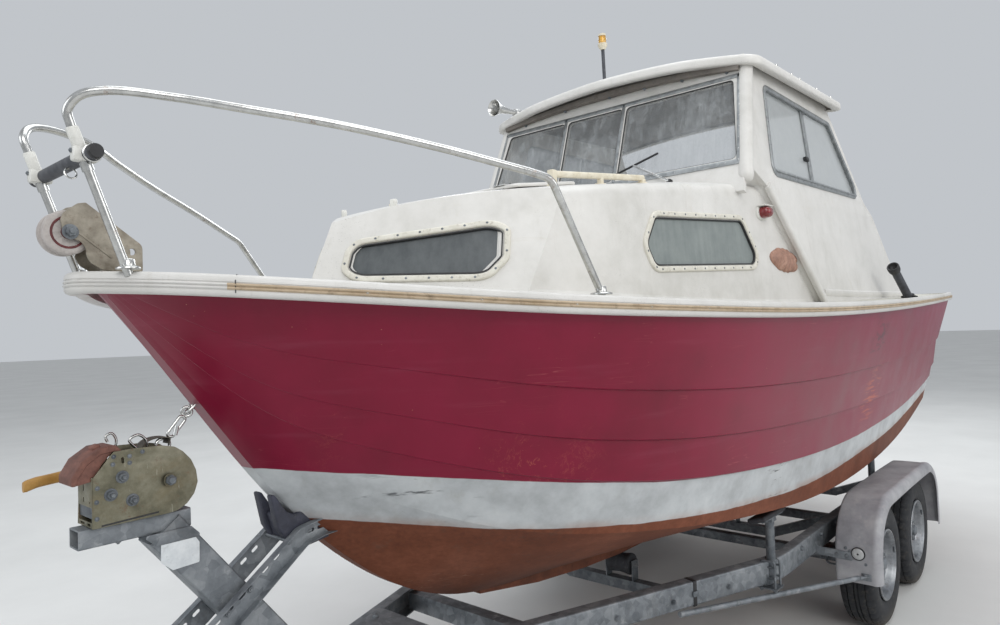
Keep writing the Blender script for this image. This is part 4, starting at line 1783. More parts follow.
def make_deck_gear():
    # low cream rails on the coachroof
    P = Piece("grab_rails")
    p0, p1 = V(1.962, .428, 2.083), V(1.380, .470, 2.142)
    P.both(bar(p0, p1, .020, .024, up=(0, 0, 1), r=.008), M["cream_clean"])
    for t, w in ((.02, .026), (.5, .020), (.98, .024)):
        c = p0.lerp(p1, t)
        zb = cuddy_top(c.x + OX, c.y)
        P.both(box_at(Vector((c.x - w / 2, c.y - w / 2, zb - .008)), Vector((c.x + w / 2, c.y + w / 2, c.z + (.014 if t < .1 else -.004))), .003), M["cream_clean"])
        P.both(disc(.022, .004, Vector((c.x, c.y, zb - .001)), (.1, .12, 1), 20, .001), M["cream_clean"])
    P.done(replaces=["handrails"], slot="cream_plastic", auto=45)
    # small fairlead on the roof's forward edge
    L = Piece("roof_fairlead")
    for sg in (1, -1):
        m = place(Vector((2.415 - OX, sg * .150, 1.955)), Vector((-.6, sg * .75, .10)), Vector((-.75, -sg * .6, 0)), Vector((0, 0, 1)))
        L.put(moved(block((.075, .024, .010), .003), m), M["white_pl"])
        L.put(moved(block((.024, .020, .030), .004), m @ Matrix.Translation((-.022, 0, .014))), M["white_pl"])
    L.done(slot="lamp_white", auto=40)
    # hatch lid with its handle and hinges
    H = Piece("hatch_lid")
    hm = hatch_m()
    base = round2([(-.196, -.206), (.196, -.206), (.196, .206), (-.196, .206)], .028, 15.0)
    n = len(base)
    grids = []
    for k, (insetd, z) in enumerate(((.012, .010), (.002, .010), (.0, .012), (.0, .018), (.003, .0225), (.010, .025), (.030, .026), (.045, .029), (.070, .030), (.13, .031), (.2079, .0312))):
        f = (.208 - insetd) / .196
        grids.append([hm @ Vector((a * f, b * f, z)) for a, b in base])
    s = grid(len(grids), n, lambda i, j: grids[i][j], wrap_v=True)
    s = (s[0], s[1] + [tuple(range(n))])
    H.put(s, M["gel"])
    H.put(tube([hm @ Vector(p) for p in [tuple(q) for q in fillet([(-.180, -.035, .024), (-.180, -.035, .033), (-.180, .035, .033), (-.180, .035, .024)], .006, 15.0)]], .0032, 10), M["steel"])
    for y in (-.13, .13):
        H.put(moved(block((.040, .060, .003), .001), hm @ Matrix.Translation((.186, y, .0275))), M["steel"])
        H.put(tube([hm @ Vector((.208, y - .03, .010)), hm @ Vector((.208, y + .03, .010))], .0044, 12), M["steel"])
        for dy in (-.018, .018):
            H.put(dome_screw(hm @ Vector((.182, y + dy, .0288)), hm.to_3x3() @ Vector((0, 0, 1)), .003, .0015), M["steel"])
    H.done(body="coachroof_hatch_body", replaces=["coachroof_hatch"], slot="white_gelcoat", auto=40)
    # rod holders on the side decks
    D = Piece("rod_holders")
    for sg in (1, -1):
        # rod holder: base plate, grey tube, black end cup
        a, b = V(-.930, sg * .965, 1.640), V(-.700, sg * .930, 1.830)
        d = (b - a).normalized()
        D.put(tube([a, a + d * .02, b - d * .035], .0235, 22), M["grey_tube"])
        D.put(lathe([(.0235, -.04), (.030, -.036), (.033, -.024), (.034, .002), (.031, .008), (.0255, .006), (.022, -.004), (.0, -.03)], b, d, 26), M["dark"])
        D.put(lathe([(.0, 0), (.046, 0), (.046, .004), (.030, .010), (.026, .020)], V(-.925, sg * .964, 1.655), (-.15, 0, 1), 26), M["dark"])
        for k in range(4):
            t = math.pi / 4 + k * math.pi / 2
            D.put(dome_screw(V(-.925 + .037 * math.cos(t), sg * .964 + .037 * math.sin(t), 1.659), (0, 0, 1), .0034, .002), M["steel"])
    D.done(replaces=["deck_fittings"], slot="grey_tube", auto=42)


make_deck_gear()


# ================================================================ winch, post, cradle
def box_section(path, w, h, r, up, mat, piece, closed_ends=True, wall=0.0):
    """rounded box tube along a path; wall opens its ends"""
    prof = round2([(-w / 2, -h / 2), (w / 2, -h / 2), (w / 2, h / 2), (-w / 2, h / 2)], r, 22.5)
    m = len(path)
    sd = []
    for i in range(m):
        t = (path[min(i + 1, m - 1)] - path[max(i - 1, 0)]).normalized()
        sd.append(Vector(up).cross(t).normalized())
    if wall:
        inner = round2([(-w / 2 + wall, -h / 2 + wall), (w / 2 - wall, -h / 2 + wall), (w / 2 - wall, h / 2 - wall), (-w / 2 + wall, h / 2 - wall)], max(r - wall, .001), 22.5)
        a = strip(path, prof, lambda i: sd[i], lambda i: up_of(path, i, up, sd), caps=False)
        b = strip(path, inner, lambda i: sd[i], lambda i: up_of(path, i, up, sd), caps=False)
        n = len(prof)
        v = a[0] + b[0]
        o = len(a[0])
        f = a[1] + [tuple(reversed([i + o for i in q])) for q in b[1]]
        for base in (0, (m - 1) * n):
            for k in range(n):
                k2 = (k + 1) % n
                f.append((base + k, base + k2, o + base + k2, o + base + k))
        piece.put((v, f), mat)
    else:
        piece.put(strip(path, prof, lambda i: sd[i], lambda i: up_of(path, i, up, sd)), mat)


def up_of(path, i, up, sd):
    m = len(path)
    t = (path[min(i + 1, m - 1)] - path[max(i - 1, 0)]).normalized()
    return t.cross(sd[i]).normalized()


PB, PT = Vector((2.704, 0, .500)), Vector((3.153, 0, 1.066))
PD = (PT - PB).normalized()
PN = Vector((PD.z, 0, -PD.x))


def post_at(s, across, y):
    p = PB + PD * s + PN * across
    return V(p.x, y, p.z)


def make_post():
    P = Piece("post")
    L = (PT - PB).length
    box_section([post_at(-.02, 0, 0), post_at(L * .5, 0, 0), post_at(L - .012, 0, 0)], .080, .098, .007, PN, M["galv"], P)
    # base shoe on the drawbar, with bolts
    for sg in (1, -1):
        out = round2([(2.600, .500), (2.860, .500), (2.845, .640), (2.780, .650)], .012)
        P.put(sheet_plate([out], .006, xz(sg * .0415, sg), .001), M["galv"])
        for x, z in ((2.650, .520), (2.820, .520), (2.790, .610)):
            P.put(bolt(V(x, sg * .0475, z), (0, sg, 0), .012), M["galv_rusty"])
    # open square tube under the winch
    box_section([V(3.345, 0, 1.0735), V(3.21, 0, 1.0735), V(3.075, 0, 1.0735)], .062, .048, .005, (0, 0, 1), M["galv"], P, wall=.004)
    for x in (3.246, 3.165):
        P.put(joined(tube([V(x, .0, 1.050), V(x, .0, 1.043)], .006, 12), hexnut(.013, .008, V(x, 0, 1.0495), (0, 0, -1))), M["galv_rusty"])
    for sg in (1, -1):
        pts = [(3.205, 1.052), (3.080, 1.052), (3.050, 1.020), (3.170, 1.020)]
        P.put(sheet_plate([round2(pts, .006)], .004, xz(sg * .0405, sg), .001), M["galv"])
    P.done(replaces=["winch_post"], slot="galvanised", auto=38)
    # perforated arms of the bow cradle
    A = Piece("cradle_arms")
    top = [(2.612, .996), (2.700, .990), (2.775, .978), (3.030, .796), (3.165, .706)]
    bot = [(3.140, .655), (2.990, .748), (2.748, .928), (2.690, .940), (2.612, .944)]
    out = [(p.x, p.y) for p in fillet([Vector((a, b, 0)) for a, b in top + bot], [.012, .06, .05, .1, .012, .012, .1, .05, .06, .018], 8.0, closed=True)]
    holes = []
    for (x0, z0), (x1, z1), n in (((2.640, .968), (2.745, .958), 3), ((2.825, .925), (3.115, .715), 8)):
        a = math.atan2(z1 - z0, x1 - x0)
        for k in range(n):
            t = (k + .5) / n
            cx, cz = x0 + (x1 - x0) * t, z0 + (z1 - z0) * t
            if abs(cx - 2.926) > .022:
                holes.append(slot2(cx, cz, .024, .0105, a))
    A.both(sheet_plate([out] + holes, .0035, xz(.058), .0006), M["galv"])
    for line in (top, bot):
        p = fillet([V(a, .0, b) for a, b in line], .055, 8.0)
        m = len(p)
        upv = []
        for i in range(m):
            t = (p[min(i + 1, m - 1)] - p[max(i - 1, 0)]).normalized()
            upv.append(Vector((t.z, 0, -t.x)))
        prof = [(.058, -.0017), (.080, -.0017), (.0825, -.0008), (.0825, .0008), (.080, .0017), (.058, .0017)]
        A.both(strip([Vector((q.x, 0, q.z)) for q in p], prof, (0, 1, 0), lambda i: upv[i]), M["galv"])
    for x, z in ((2.803, .946), (2.928, .845), (2.996, .800)):
        A.both(bolt(V(x, .0615, z), (0, 1, 0), .010), M["galv_rusty"])
        A.put(tube([V(x, -.058, z), V(x, .058, z)], .0055, 12), M["galv_rusty"])
    # feet down to the drawbar
    A.both(sheet_plate([round2([(3.080, .480), (3.150, .480), (3.165, .700), (3.120, .735), (3.088, .715)], .008)], .004, xz(.0535), .0008), M["galv"])
    A.both(bolt(V(3.115, .0580, .690), (0, 1, 0), .010), M["galv_rusty"])
    for x in (3.098, 3.135):
        A.both(bolt(V(x, .0580, .497), (0, 1, 0), .010), M["galv_rusty"])
        A.both(tube([V(x, .040, .497), V(x, .056, .497)], .006, 12), M["galv_rusty"])
    A.done(slot="galvanised", auto=38)
    # rubber chock that holds the stem
    S = Piece("stem_chock")
    out = [(2.850, 1.086), (2.836, 1.084), (2.800, 1.030), (2.772, 1.014), (2.690, 1.046), (2.640, 1.030), (2.600, 1.004), (2.588, .960), (2.610, .928), (2.735, .912), (2.800, .940), (2.828, .985)]
    o = round2(out, .012, 15.0)
    S.both(sheet_plate([o], .030, xz(.022), .006, 3), M["snub"])
    core = round2([(2.835, 1.050), (2.780, .996), (2.700, 1.000), (2.610, .985), (2.600, .940), (2.735, .918), (2.800, .945)], .01, 15.0)
    S.put(sheet_plate([core], .050, xz(-.025), .004, 2), M["snub"])
    for x, z in ((2.660, .968), (2.730, .962)):
        S.both(disc(.012, .004, V(x, .052, z), (0, 1, 0), 20, .001), M["galv_rusty"])
    S.done(replaces=["bow_snubber"], slot="black_rubber", auto=44)
    # blank plate with cut corners
    B = Piece("plate_blank")
    out = [(3.159, 1.023), (3.070, 1.022), (3.059, 1.005), (3.060, .952), (3.130, .949), (3.160, .975)]
    B.put(sheet_plate([round2(out, .004, 20.0)], .0022, xz(.0412), .0004), M["plate"])
    B.done(replaces=["blank_plate"], slot="lamp_white", auto=40)


make_post()


def make_winch():
    P = Piece("winch_plates")
    out = [(3.321, 1.098), (3.3165, 1.220), (3.270, 1.276), (3.222, 1.2775), (3.155, 1.275), (3.121, 1.267), (3.100, 1.252), (3.079, 1.228), (3.066, 1.198), (3.062, 1.166), (3.072, 1.137), (3.092, 1.114), (3.118, 1.101), (3.146, 1.0985)]
    rad = [.003, .004, .006, .0, .02, .02, .02, .02, .02, .02, .02, .02, .02, .004]
    o = [(p.x, p.y) for p in fillet([Vector((a, b, 0)) for a, b in out], rad, 8.0, closed=True)]
    holes = [slot2(3.2490, 1.2520, .015, .006, 1.45), circle2(3.272, 1.247, .0028, 10), circle2(3.233, 1.2445, .0028, 10)]
    P.both(sheet_plate([o] + holes, .004, xz(.044), .0007, 2), M["zinc"])
    P.put(box_at(V(3.148, -.046, 1.0985), V(3.320, .046, 1.1025), .001), M["zinc"])
    # end face, with its slots and the open lip below
    def face(a, b, w):
        return V(3.3165 + w, a, b)
    P.put(sheet_plate([round2([(-.046, 1.148), (.046, 1.148), (.046, 1.221), (-.046, 1.221)], .003), slot2(-.010, 1.196, .026, .006, 1.571), slot2(-.010, 1.163, .012, .006, 1.571), circle2(.030, 1.16, .003, 10), circle2(-.036, 1.20, .003, 10)], .003, face, .0005), M["zinc"])
    P.put(box_at(V(3.310, -.0455, 1.120), V(3.3165, .0455, 1.147), .001), M["galv_dark"])
    P.put(sheet_plate([round2([(-.046, 1.0985), (.046, 1.0985), (.046, 1.112), (-.046, 1.112)], .002), slot2(-.020, 1.105, .030, .006, 0), slot2(.022, 1.105, .020, .006, 0)], .003, face, .0005), M["zinc"])
    P.both(bar(V(3.318, .0455, 1.110), V(3.318, .0455, 1.150), .004, .003, up=(1, 0, 0), r=.0008), M["zinc"])
    P.put(bar(V(3.165, .0485, 1.1075), V(3.300, .0485, 1.1020), .0015, .004, up=(0, 0, 1), r=.0004), M["gasket"])
    # cross pins and their nuts
    for x, z, d in ((3.251, 1.212, .011), (3.278, 1.173, .010), (3.228, 1.151, .010)):
        P.put(tube([V(x, -.050, z), V(x, .050, z)], d * .5, 14), M["galv_rusty"])
        for sg in (1, -1):
            P.put(disc(.0155, .0022, V(x, sg * .048, z), (0, sg, 0), 26, .0005), M["galv_rusty"])
            P.put(hexnut(.0195, .0085, V(x, sg * .0502, z), (0, sg, 0), x * 40), M["galv_rusty"])
            P.put(tube([V(x, sg * .058, z), V(x, sg * .066, z), V(x, sg * .0675, z)], [.0052, .0052, .0042], 14), M["galv_rusty"])
    for sg in (1, -1):
        P.put(disc(.0165, .003, V(3.138, sg * .0545, 1.185), (0, sg, 0), 28, .0008), M["zinc"])
    for x, z in ((3.270, 1.2640), (3.233, 1.2600), (3.202, 1.2665), (3.308, 1.194), (3.310, 1.161), (3.310, 1.121), (3.272, 1.2455), (3.233, 1.2435)):
        P.both(joined(disc(.0056, .0012, V(x, .048, z), (0, 1, 0), 14, .0003), dome_screw(V(x, .049, z), (0, 1, 0), .0042, .0026, 10)), M["galv_rusty"])
    # folded cover over the gear
    cov = [(3.236, 1.262), (3.262, 1.290), (3.300, 1.288), (3.340, 1.262), (3.362, 1.226), (3.362, 1.206), (3.352, 1.206), (3.348, 1.222), (3.328, 1.252), (3.296, 1.274), (3.264, 1.276), (3.246, 1.256)]
    P.put(sheet_plate([round2(cov, .003, 20.0)], .088, xz(-.044), .0015, 2), M["cover"])
    for sg in (1, -1):
        ear = [(3.262, 1.284), (3.300, 1.284), (3.338, 1.260), (3.358, 1.222), (3.352, 1.206), (3.312, 1.212), (3.296, 1.246)]
        P.put(sheet_plate([round2(ear, .004, 20.0)], .003, xz(sg * .0405, -sg), .0006), M["cover"])
    P.put(moved(block((.020, .030, .012), .004), Matrix.Translation(V(3.300, .010, 1.288)) @ Matrix.Rotation(.35, 4, "Y")), M["cover"])
    P.done(replaces=["winch_frame"], slot="zinc_yellow", auto=38)

    D = Piece("winch_drum_wound")
    c = V(3.138, 0, 1.185)
    D.put(lathe([(.0, -.062), (.0095, -.062), (.0115, -.060), (.0115, -.038), (.056, -.038), (.056, -.0345), (.024, -.034), (.024, .034), (.056, .0345), (.056, .038), (.0115, .038), (.0115, .060), (.0095, .062), (.0, .062)], c, (0, 1, 0), 44), M["zinc"])
    D.put(lathe([(.024, -.0335), (.052, -.0330), (.0535, -.030), (.0528, -.010), (.0540, .004), (.0530, .028), (.052, .0330), (.024, .0335)], c, (0, 1, 0), 44), M["webbing"])
    for sg in (1, -1):
        D.put(hexnut(.024, .0085, c + Vector((0, sg * .0575, 0)), (0, sg, 0), .35, dome=False), M["galv_rusty"])
        D.put(lathe([(.0095, .060), (.0095, .070), (.0080, .072), (.0, .072)], c, (0, sg, 0), 18), M["galv_rusty"])
    for k in range(5):
        y = -.024 + .012 * k
        D.put(tube([c + Vector((.050 * math.cos(t), y + .0015 * math.sin(3 * t + k), .0545 * math.sin(t) + .001)) for t in [.35 + 2.2 * j / 18 for j in range(19)]], .0032, 8), M["webbing"])
    D.done(body="winch_drum_body", replaces=["winch_drum"], slot="zinc_yellow", auto=40)

    K = Piece("winch_handle")
    K.put(tube([V(3.251, -.152, 1.212), V(3.251, .050, 1.212)], .0085, 18), M["galv_rusty"])
    K.put(hexnut(.019, .008, V(3.251, -.152, 1.212), (0, -1, 0)), M["galv_rusty"])
    K.put(lathe([(.0085, -.060), (.030, -.060), (.030, -.066), (.022, -.070), (.0085, -.072)], V(3.251, 0, 1.212), (0, 1, 0), 24), M["zinc"])
    K.put(bar(V(3.236, -.140, 1.2128), V(3.330, -.140, 1.2062), .0065, .024, up=(0, 0, 1), r=.0015), M["zinc"])
    rows = []
    for t in [k / 16 for k in range(17)]:
        x = 3.303 + .108 * t
        z = 1.2070 - .009 * t - .006 * max(0, t - .72) ** 1.2 * 4
        hh = .0145 * (1 - .10 * math.sin(math.pi * t)) * (1 if t < .94 else .86) * (1 if t > .03 else .9)
        ww = .0105 * (1 if t < .94 else .8)
        rows.append([V(x, -.140 + ww * math.copysign(abs(math.cos(a)) ** .7, math.cos(a)), z + hh * math.copysign(abs(math.sin(a)) ** .7, math.sin(a))) for a in [2 * math.pi * j / 20 for j in range(20)]])
    s = grid(17, 20, lambda i, j: rows[i][j], wrap_v=True)
    s = (s[0], s[1] + [tuple(range(20)), tuple(range(16 * 20, 17 * 20))])
    K.put(s, M["ochre"])
    K.put(disc(.006, .002, V(3.330, -.1505, 1.206), (0, -1, 0), 14, .0004), M["galv_rusty"])
    K.done(body="winch_crank_body", replaces=["winch_crank"], slot="zinc_yellow", auto=50)

    # rings and links up to the eye in the stem
    C = Piece("bow_links")
    w = .0042

    def link(c, d, l, r, nrm, wr=w):
        """an elongated ring with its length along d"""
        d = Vector(d).normalized()
        n0 = (Vector(nrm) - d * Vector(nrm).dot(d)).normalized()
        s = n0.cross(d)
        pts = []
        for k in range(9):
            t = -math.pi / 2 + math.pi * k / 8
            pts.append(c + d * (l / 2 - r + r * math.cos(t)) + s * (r * math.sin(t)))
        for k in range(9):
            t = math.pi / 2 + math.pi * k / 8
            pts.append(c + d * (-l / 2 + r + r * math.cos(t)) + s * (r * math.sin(t)))
        return tube(pts, wr, 10, closed=True)
    e, m1, b = V(3.066, 0, 1.349), V(3.096, 0, 1.311), V(3.130, 0, 1.274)
    d = (b - e).normalized()
    C.put(torus(V(3.066, 0, 1.349), (.35, .94, 0), .0125, .0042, 30, 12), M["steel"])
    C.put(link(m1 - d * .002, d, .062, .0085, (0, 1, .2)), M["steel"])
    C.put(tube([m1 + Vector((0, .0085, .004)), m1 + Vector((0, .0085, -.012)) + d * .01], .0058, 10), M["steel"])
    C.put(link(b + d * .002 + Vector((0, 0, -.004)), (1, .2, .1), .040, .0165, (0, 1, .0)), M["steel"])
    C.put(lathe([(.0, 0), (.011, 0), (.011, .003), (.0, .004)], V(3.052, 0, 1.362), (.78, 0, -.62), 18), M["steel_worn"])
    C.put(tube([V(3.045, .008, 1.366), V(3.060, .008, 1.354), V(3.066, .006, 1.348), V(3.068, .0, 1.346), V(3.066, -.006, 1.348), V(3.060, -.008, 1.354), V(3.045, -.008, 1.366)], .0042, 10), M["steel_worn"])
    # wire hooks and strap end over the drum
    C.put(tube(catmull([V(3.255, .01, 1.275), V(3.250, .012, 1.300), V(3.262, .014, 1.318), V(3.276, .016, 1.312), V(3.272, .016, 1.298)], 6), .0032, 8), M["steel_worn"])
    C.put(tube(catmull([V(3.205, .020, 1.272), V(3.222, .02, 1.296), V(3.200, .018, 1.306), V(3.180, .016, 1.290), V(3.178, .014, 1.270)], 6), .0036, 8), M["steel_worn"])
    p = catmull([V(3.196, -.010, 1.258), V(3.176, -.008, 1.283), V(3.145, -.004, 1.291), V(3.120, 0, 1.286), V(3.122, 0, 1.272)], 6)
    C.put(strip(p, [(-.019, -.0012), (.019, -.0012), (.019, .0012), (-.019, .0012)], (0, 1, 0), lambda i: Vector((0, 1, 0)).cross((p[min(i + 1, len(p) - 1)] - p[max(i - 1, 0)]).normalized())), M["webbing"])
    C.done(replaces=["bow_eye_hook"], slot="galvanised", auto=50)


make_winch()


# ================================================================ trailer frame
def soften(node, width=.0022, angle=35):
    ob = NODES[node]
    w = ob.modifiers.new("weld", "WELD")
    w.merge_threshold = 1e-5
    b = ob.modifiers.new("edge", "BEVEL")
    b.width, b.segments, b.limit_method, b.angle_limit = width, 2, "ANGLE", math.radians(angle)
    b.harden_normals = False


def make_frame():
    P = Piece("frame_rails")
    zc = .461
    ax = Vector((2.700 - .830, .066 - .745)).normalized()
    path = fillet([V(-1.640, .745, zc), V(.830, .745, zc), V(2.700, .066, zc)], .60, 4.0)
    w, h, t = .050, .098, .005
    # cold-formed channel: web outside, flanges turned in
    prof = []
    r = .008
    for k in range(5):
        a = math.radians(90 * k / 4)
        prof.append((w / 2 - r + r * math.sin(a), h / 2 - r + r * math.cos(a)))
    for k in range(5):
        a = math.radians(90 + 90 * k / 4)
        prof.append((w / 2 - r + r * math.sin(a), -h / 2 + r + r * math.cos(a)))
    prof = [(-w / 2, h / 2)] + prof + [(-w / 2, -h / 2)]
    inner = [(-w / 2, -h / 2 + t), (w / 2 - t - .003, -h / 2 + t), (w / 2 - t, -h / 2 + t + .003), (w / 2 - t, h / 2 - t - .003), (w / 2 - t - .003, h / 2 - t), (-w / 2, h / 2 - t)]
    pr = prof + inner
    m = len(path)
    sd = []
    for i in range(m):
        q = (path[min(i + 1, m - 1)] - path[max(i - 1, 0)]).normalized()
        sd.append(Vector((-q.y, q.x, 0)) if True else None)
    P.both(strip(path, pr, lambda i: sd[i], (0, 0, 1)), M["galv"])
    P.put(box_at(V(1.980, -.300, .422), V(2.040, .300, .490), .003), M["galv"])
    # rear cross rail and end caps
    for x, y in ((-1.30, .7705), (-1.02, .7705), (-.66, .7705), (-.30, .7705), (.06, .7705), (.30, .7705), (.58, .7705)):
        P.both(bolt(V(x, y, .486), (0, 1, 0), .011), M["galv_rusty"])
    d = Vector((ax.x, ax.y, 0))
    nn = Vector((-d.y, d.x, 0))
    for s in (.32, .62, .9, 1.35, 1.62):
        c = V(.830, .745, .452) + d * s + nn * .0255
        P.both(bolt(c, nn, .010), M["galv_rusty"])
    # black strap band round the rail
    c = V(.830, .745, zc) + d * .505
    P.both(moved(block((.020, .054, .102), .003), place(c, d, nn, Vector((0, 0, 1)))), M["dark"])
    P.both(moved(block((.030, .006, .022), .002), place(c + nn * .029, d, nn, Vector((0, 0, 1)))), M["galv_rusty"])
    # plate gussets where the rails meet the drawbar
    for z, sg in ((.5105, 1), (.4115, -1)):
        out = round2([(2.25, -.22), (2.25, .22), (2.72, .045), (2.90, .040), (2.90, -.040), (2.72, -.045)], .01)
        P.put(sheet_plate([out], .004, lambda a, b, w_, z=z, sg=sg: V(a, b, z + sg * w_), .0008), M["galv"])
        for x, y in ((2.32, .16), (2.32, -.16), (2.52, .09), (2.52, -.09), (2.78, .02), (2.78, -.02)):
            P.put(bolt(V(x, y, z + sg * .004), (0, 0, sg), .012), M["galv_rusty"])
    P.done(replaces=["trailer_frame"], slot="galvanised", auto=38)
    paint("trailer_crossmembers", "galv_dark")
    soften("trailer_crossmembers")
    paint("drawbar", "galv")
    soften("drawbar", .003)
    C = Piece("cross_brackets")
    for x in (.900, -.356, -1.600):
        # U-bolts that hold the crossmembers to the rails
        for dx in (-.030, .030):
            pts = fillet([V(x + dx, .716, .400), V(x + dx, .716, .516), V(x + dx, .774, .516), V(x + dx, .774, .400)], .012, 15.0)
            C.both(tube(pts, .005, 10), M["galv_rusty"])
        C.both(box_at(V(x - .040, .705, .398), V(x + .040, .785, .404), .001), M["galv_dark"])
        for dx in (-.030, .030):
            for y in (.716, .774):
                C.both(hexnut(.015, .008, V(x + dx, y, .398), (0, 0, -1)), M["galv_rusty"])
        # keel roller, waisted, on its pin
        c = V(x, 0, .362)
        C.put(lathe([(.010, -.066), (.018, -.066), (.020, -.062), (.047, -.062), (.0515, -.058), (.0520, -.050), (.048, -.030), (.0455, 0), (.048, .030), (.0520, .050), (.0515, .058), (.047, .062), (.020, .062), (.018, .066), (.010, .066)], c, (0, 1, 0), 40), M["rubber"])
        for sg in (1, -1):
            C.put(disc(.015, .002, V(x, sg * .079, .362), (0, sg, 0), 22, .0005), M["galv_rusty"])
            C.put(hexnut(.020, .009, V(x, sg * .081, .362), (0, sg, 0)), M["galv_rusty"])
    C.done(replaces=["keel_rollers"], slot="black_rubber", auto=40)
    # side posts with pads
    S = Piece("side_posts")
    for x in (.890, -.790):
        zt = .700
        S.both(tube([V(x, .745, .430), V(x, .745, .50), V(x, .745, .60), V(x, .745, zt - .012)], .019, 20), M["galv_dark"])
        S.both(disc(.0225, .004, V(x, .745, zt - .016), (0, 0, 1), 22, .0006), M["galv_dark"])
        for z in (.440, .486):
            pts = fillet([V(x - .026, .768, z), V(x - .026, .722, z), V(x + .026, .722, z), V(x + .026, .768, z)], .020, 15.0)
            S.both(tube(pts, .0045, 10), M["galv_rusty"])
        n = (Vector((0, -.28, 1))).normalized()
        mm = place(V(x, .735, zt + .004), Vector((1, 0, 0)), n.cross(Vector((1, 0, 0))).normalized(), n)
        S.both(moved(block((.250, .078, .022), .008, 3), mm), M["rubber"])
        S.both(moved(block((.200, .060, .006), .001), mm @ Matrix.Translation((0, 0, -.013))), M["galv_dark"])
        S.both(moved(block((.05, .05, .02), .002), mm @ Matrix.Translation((0, 0, -.022))), M["galv_dark"])
    S.done(replaces=["side_supports"], slot="galvanised", auto=42)


make_frame()


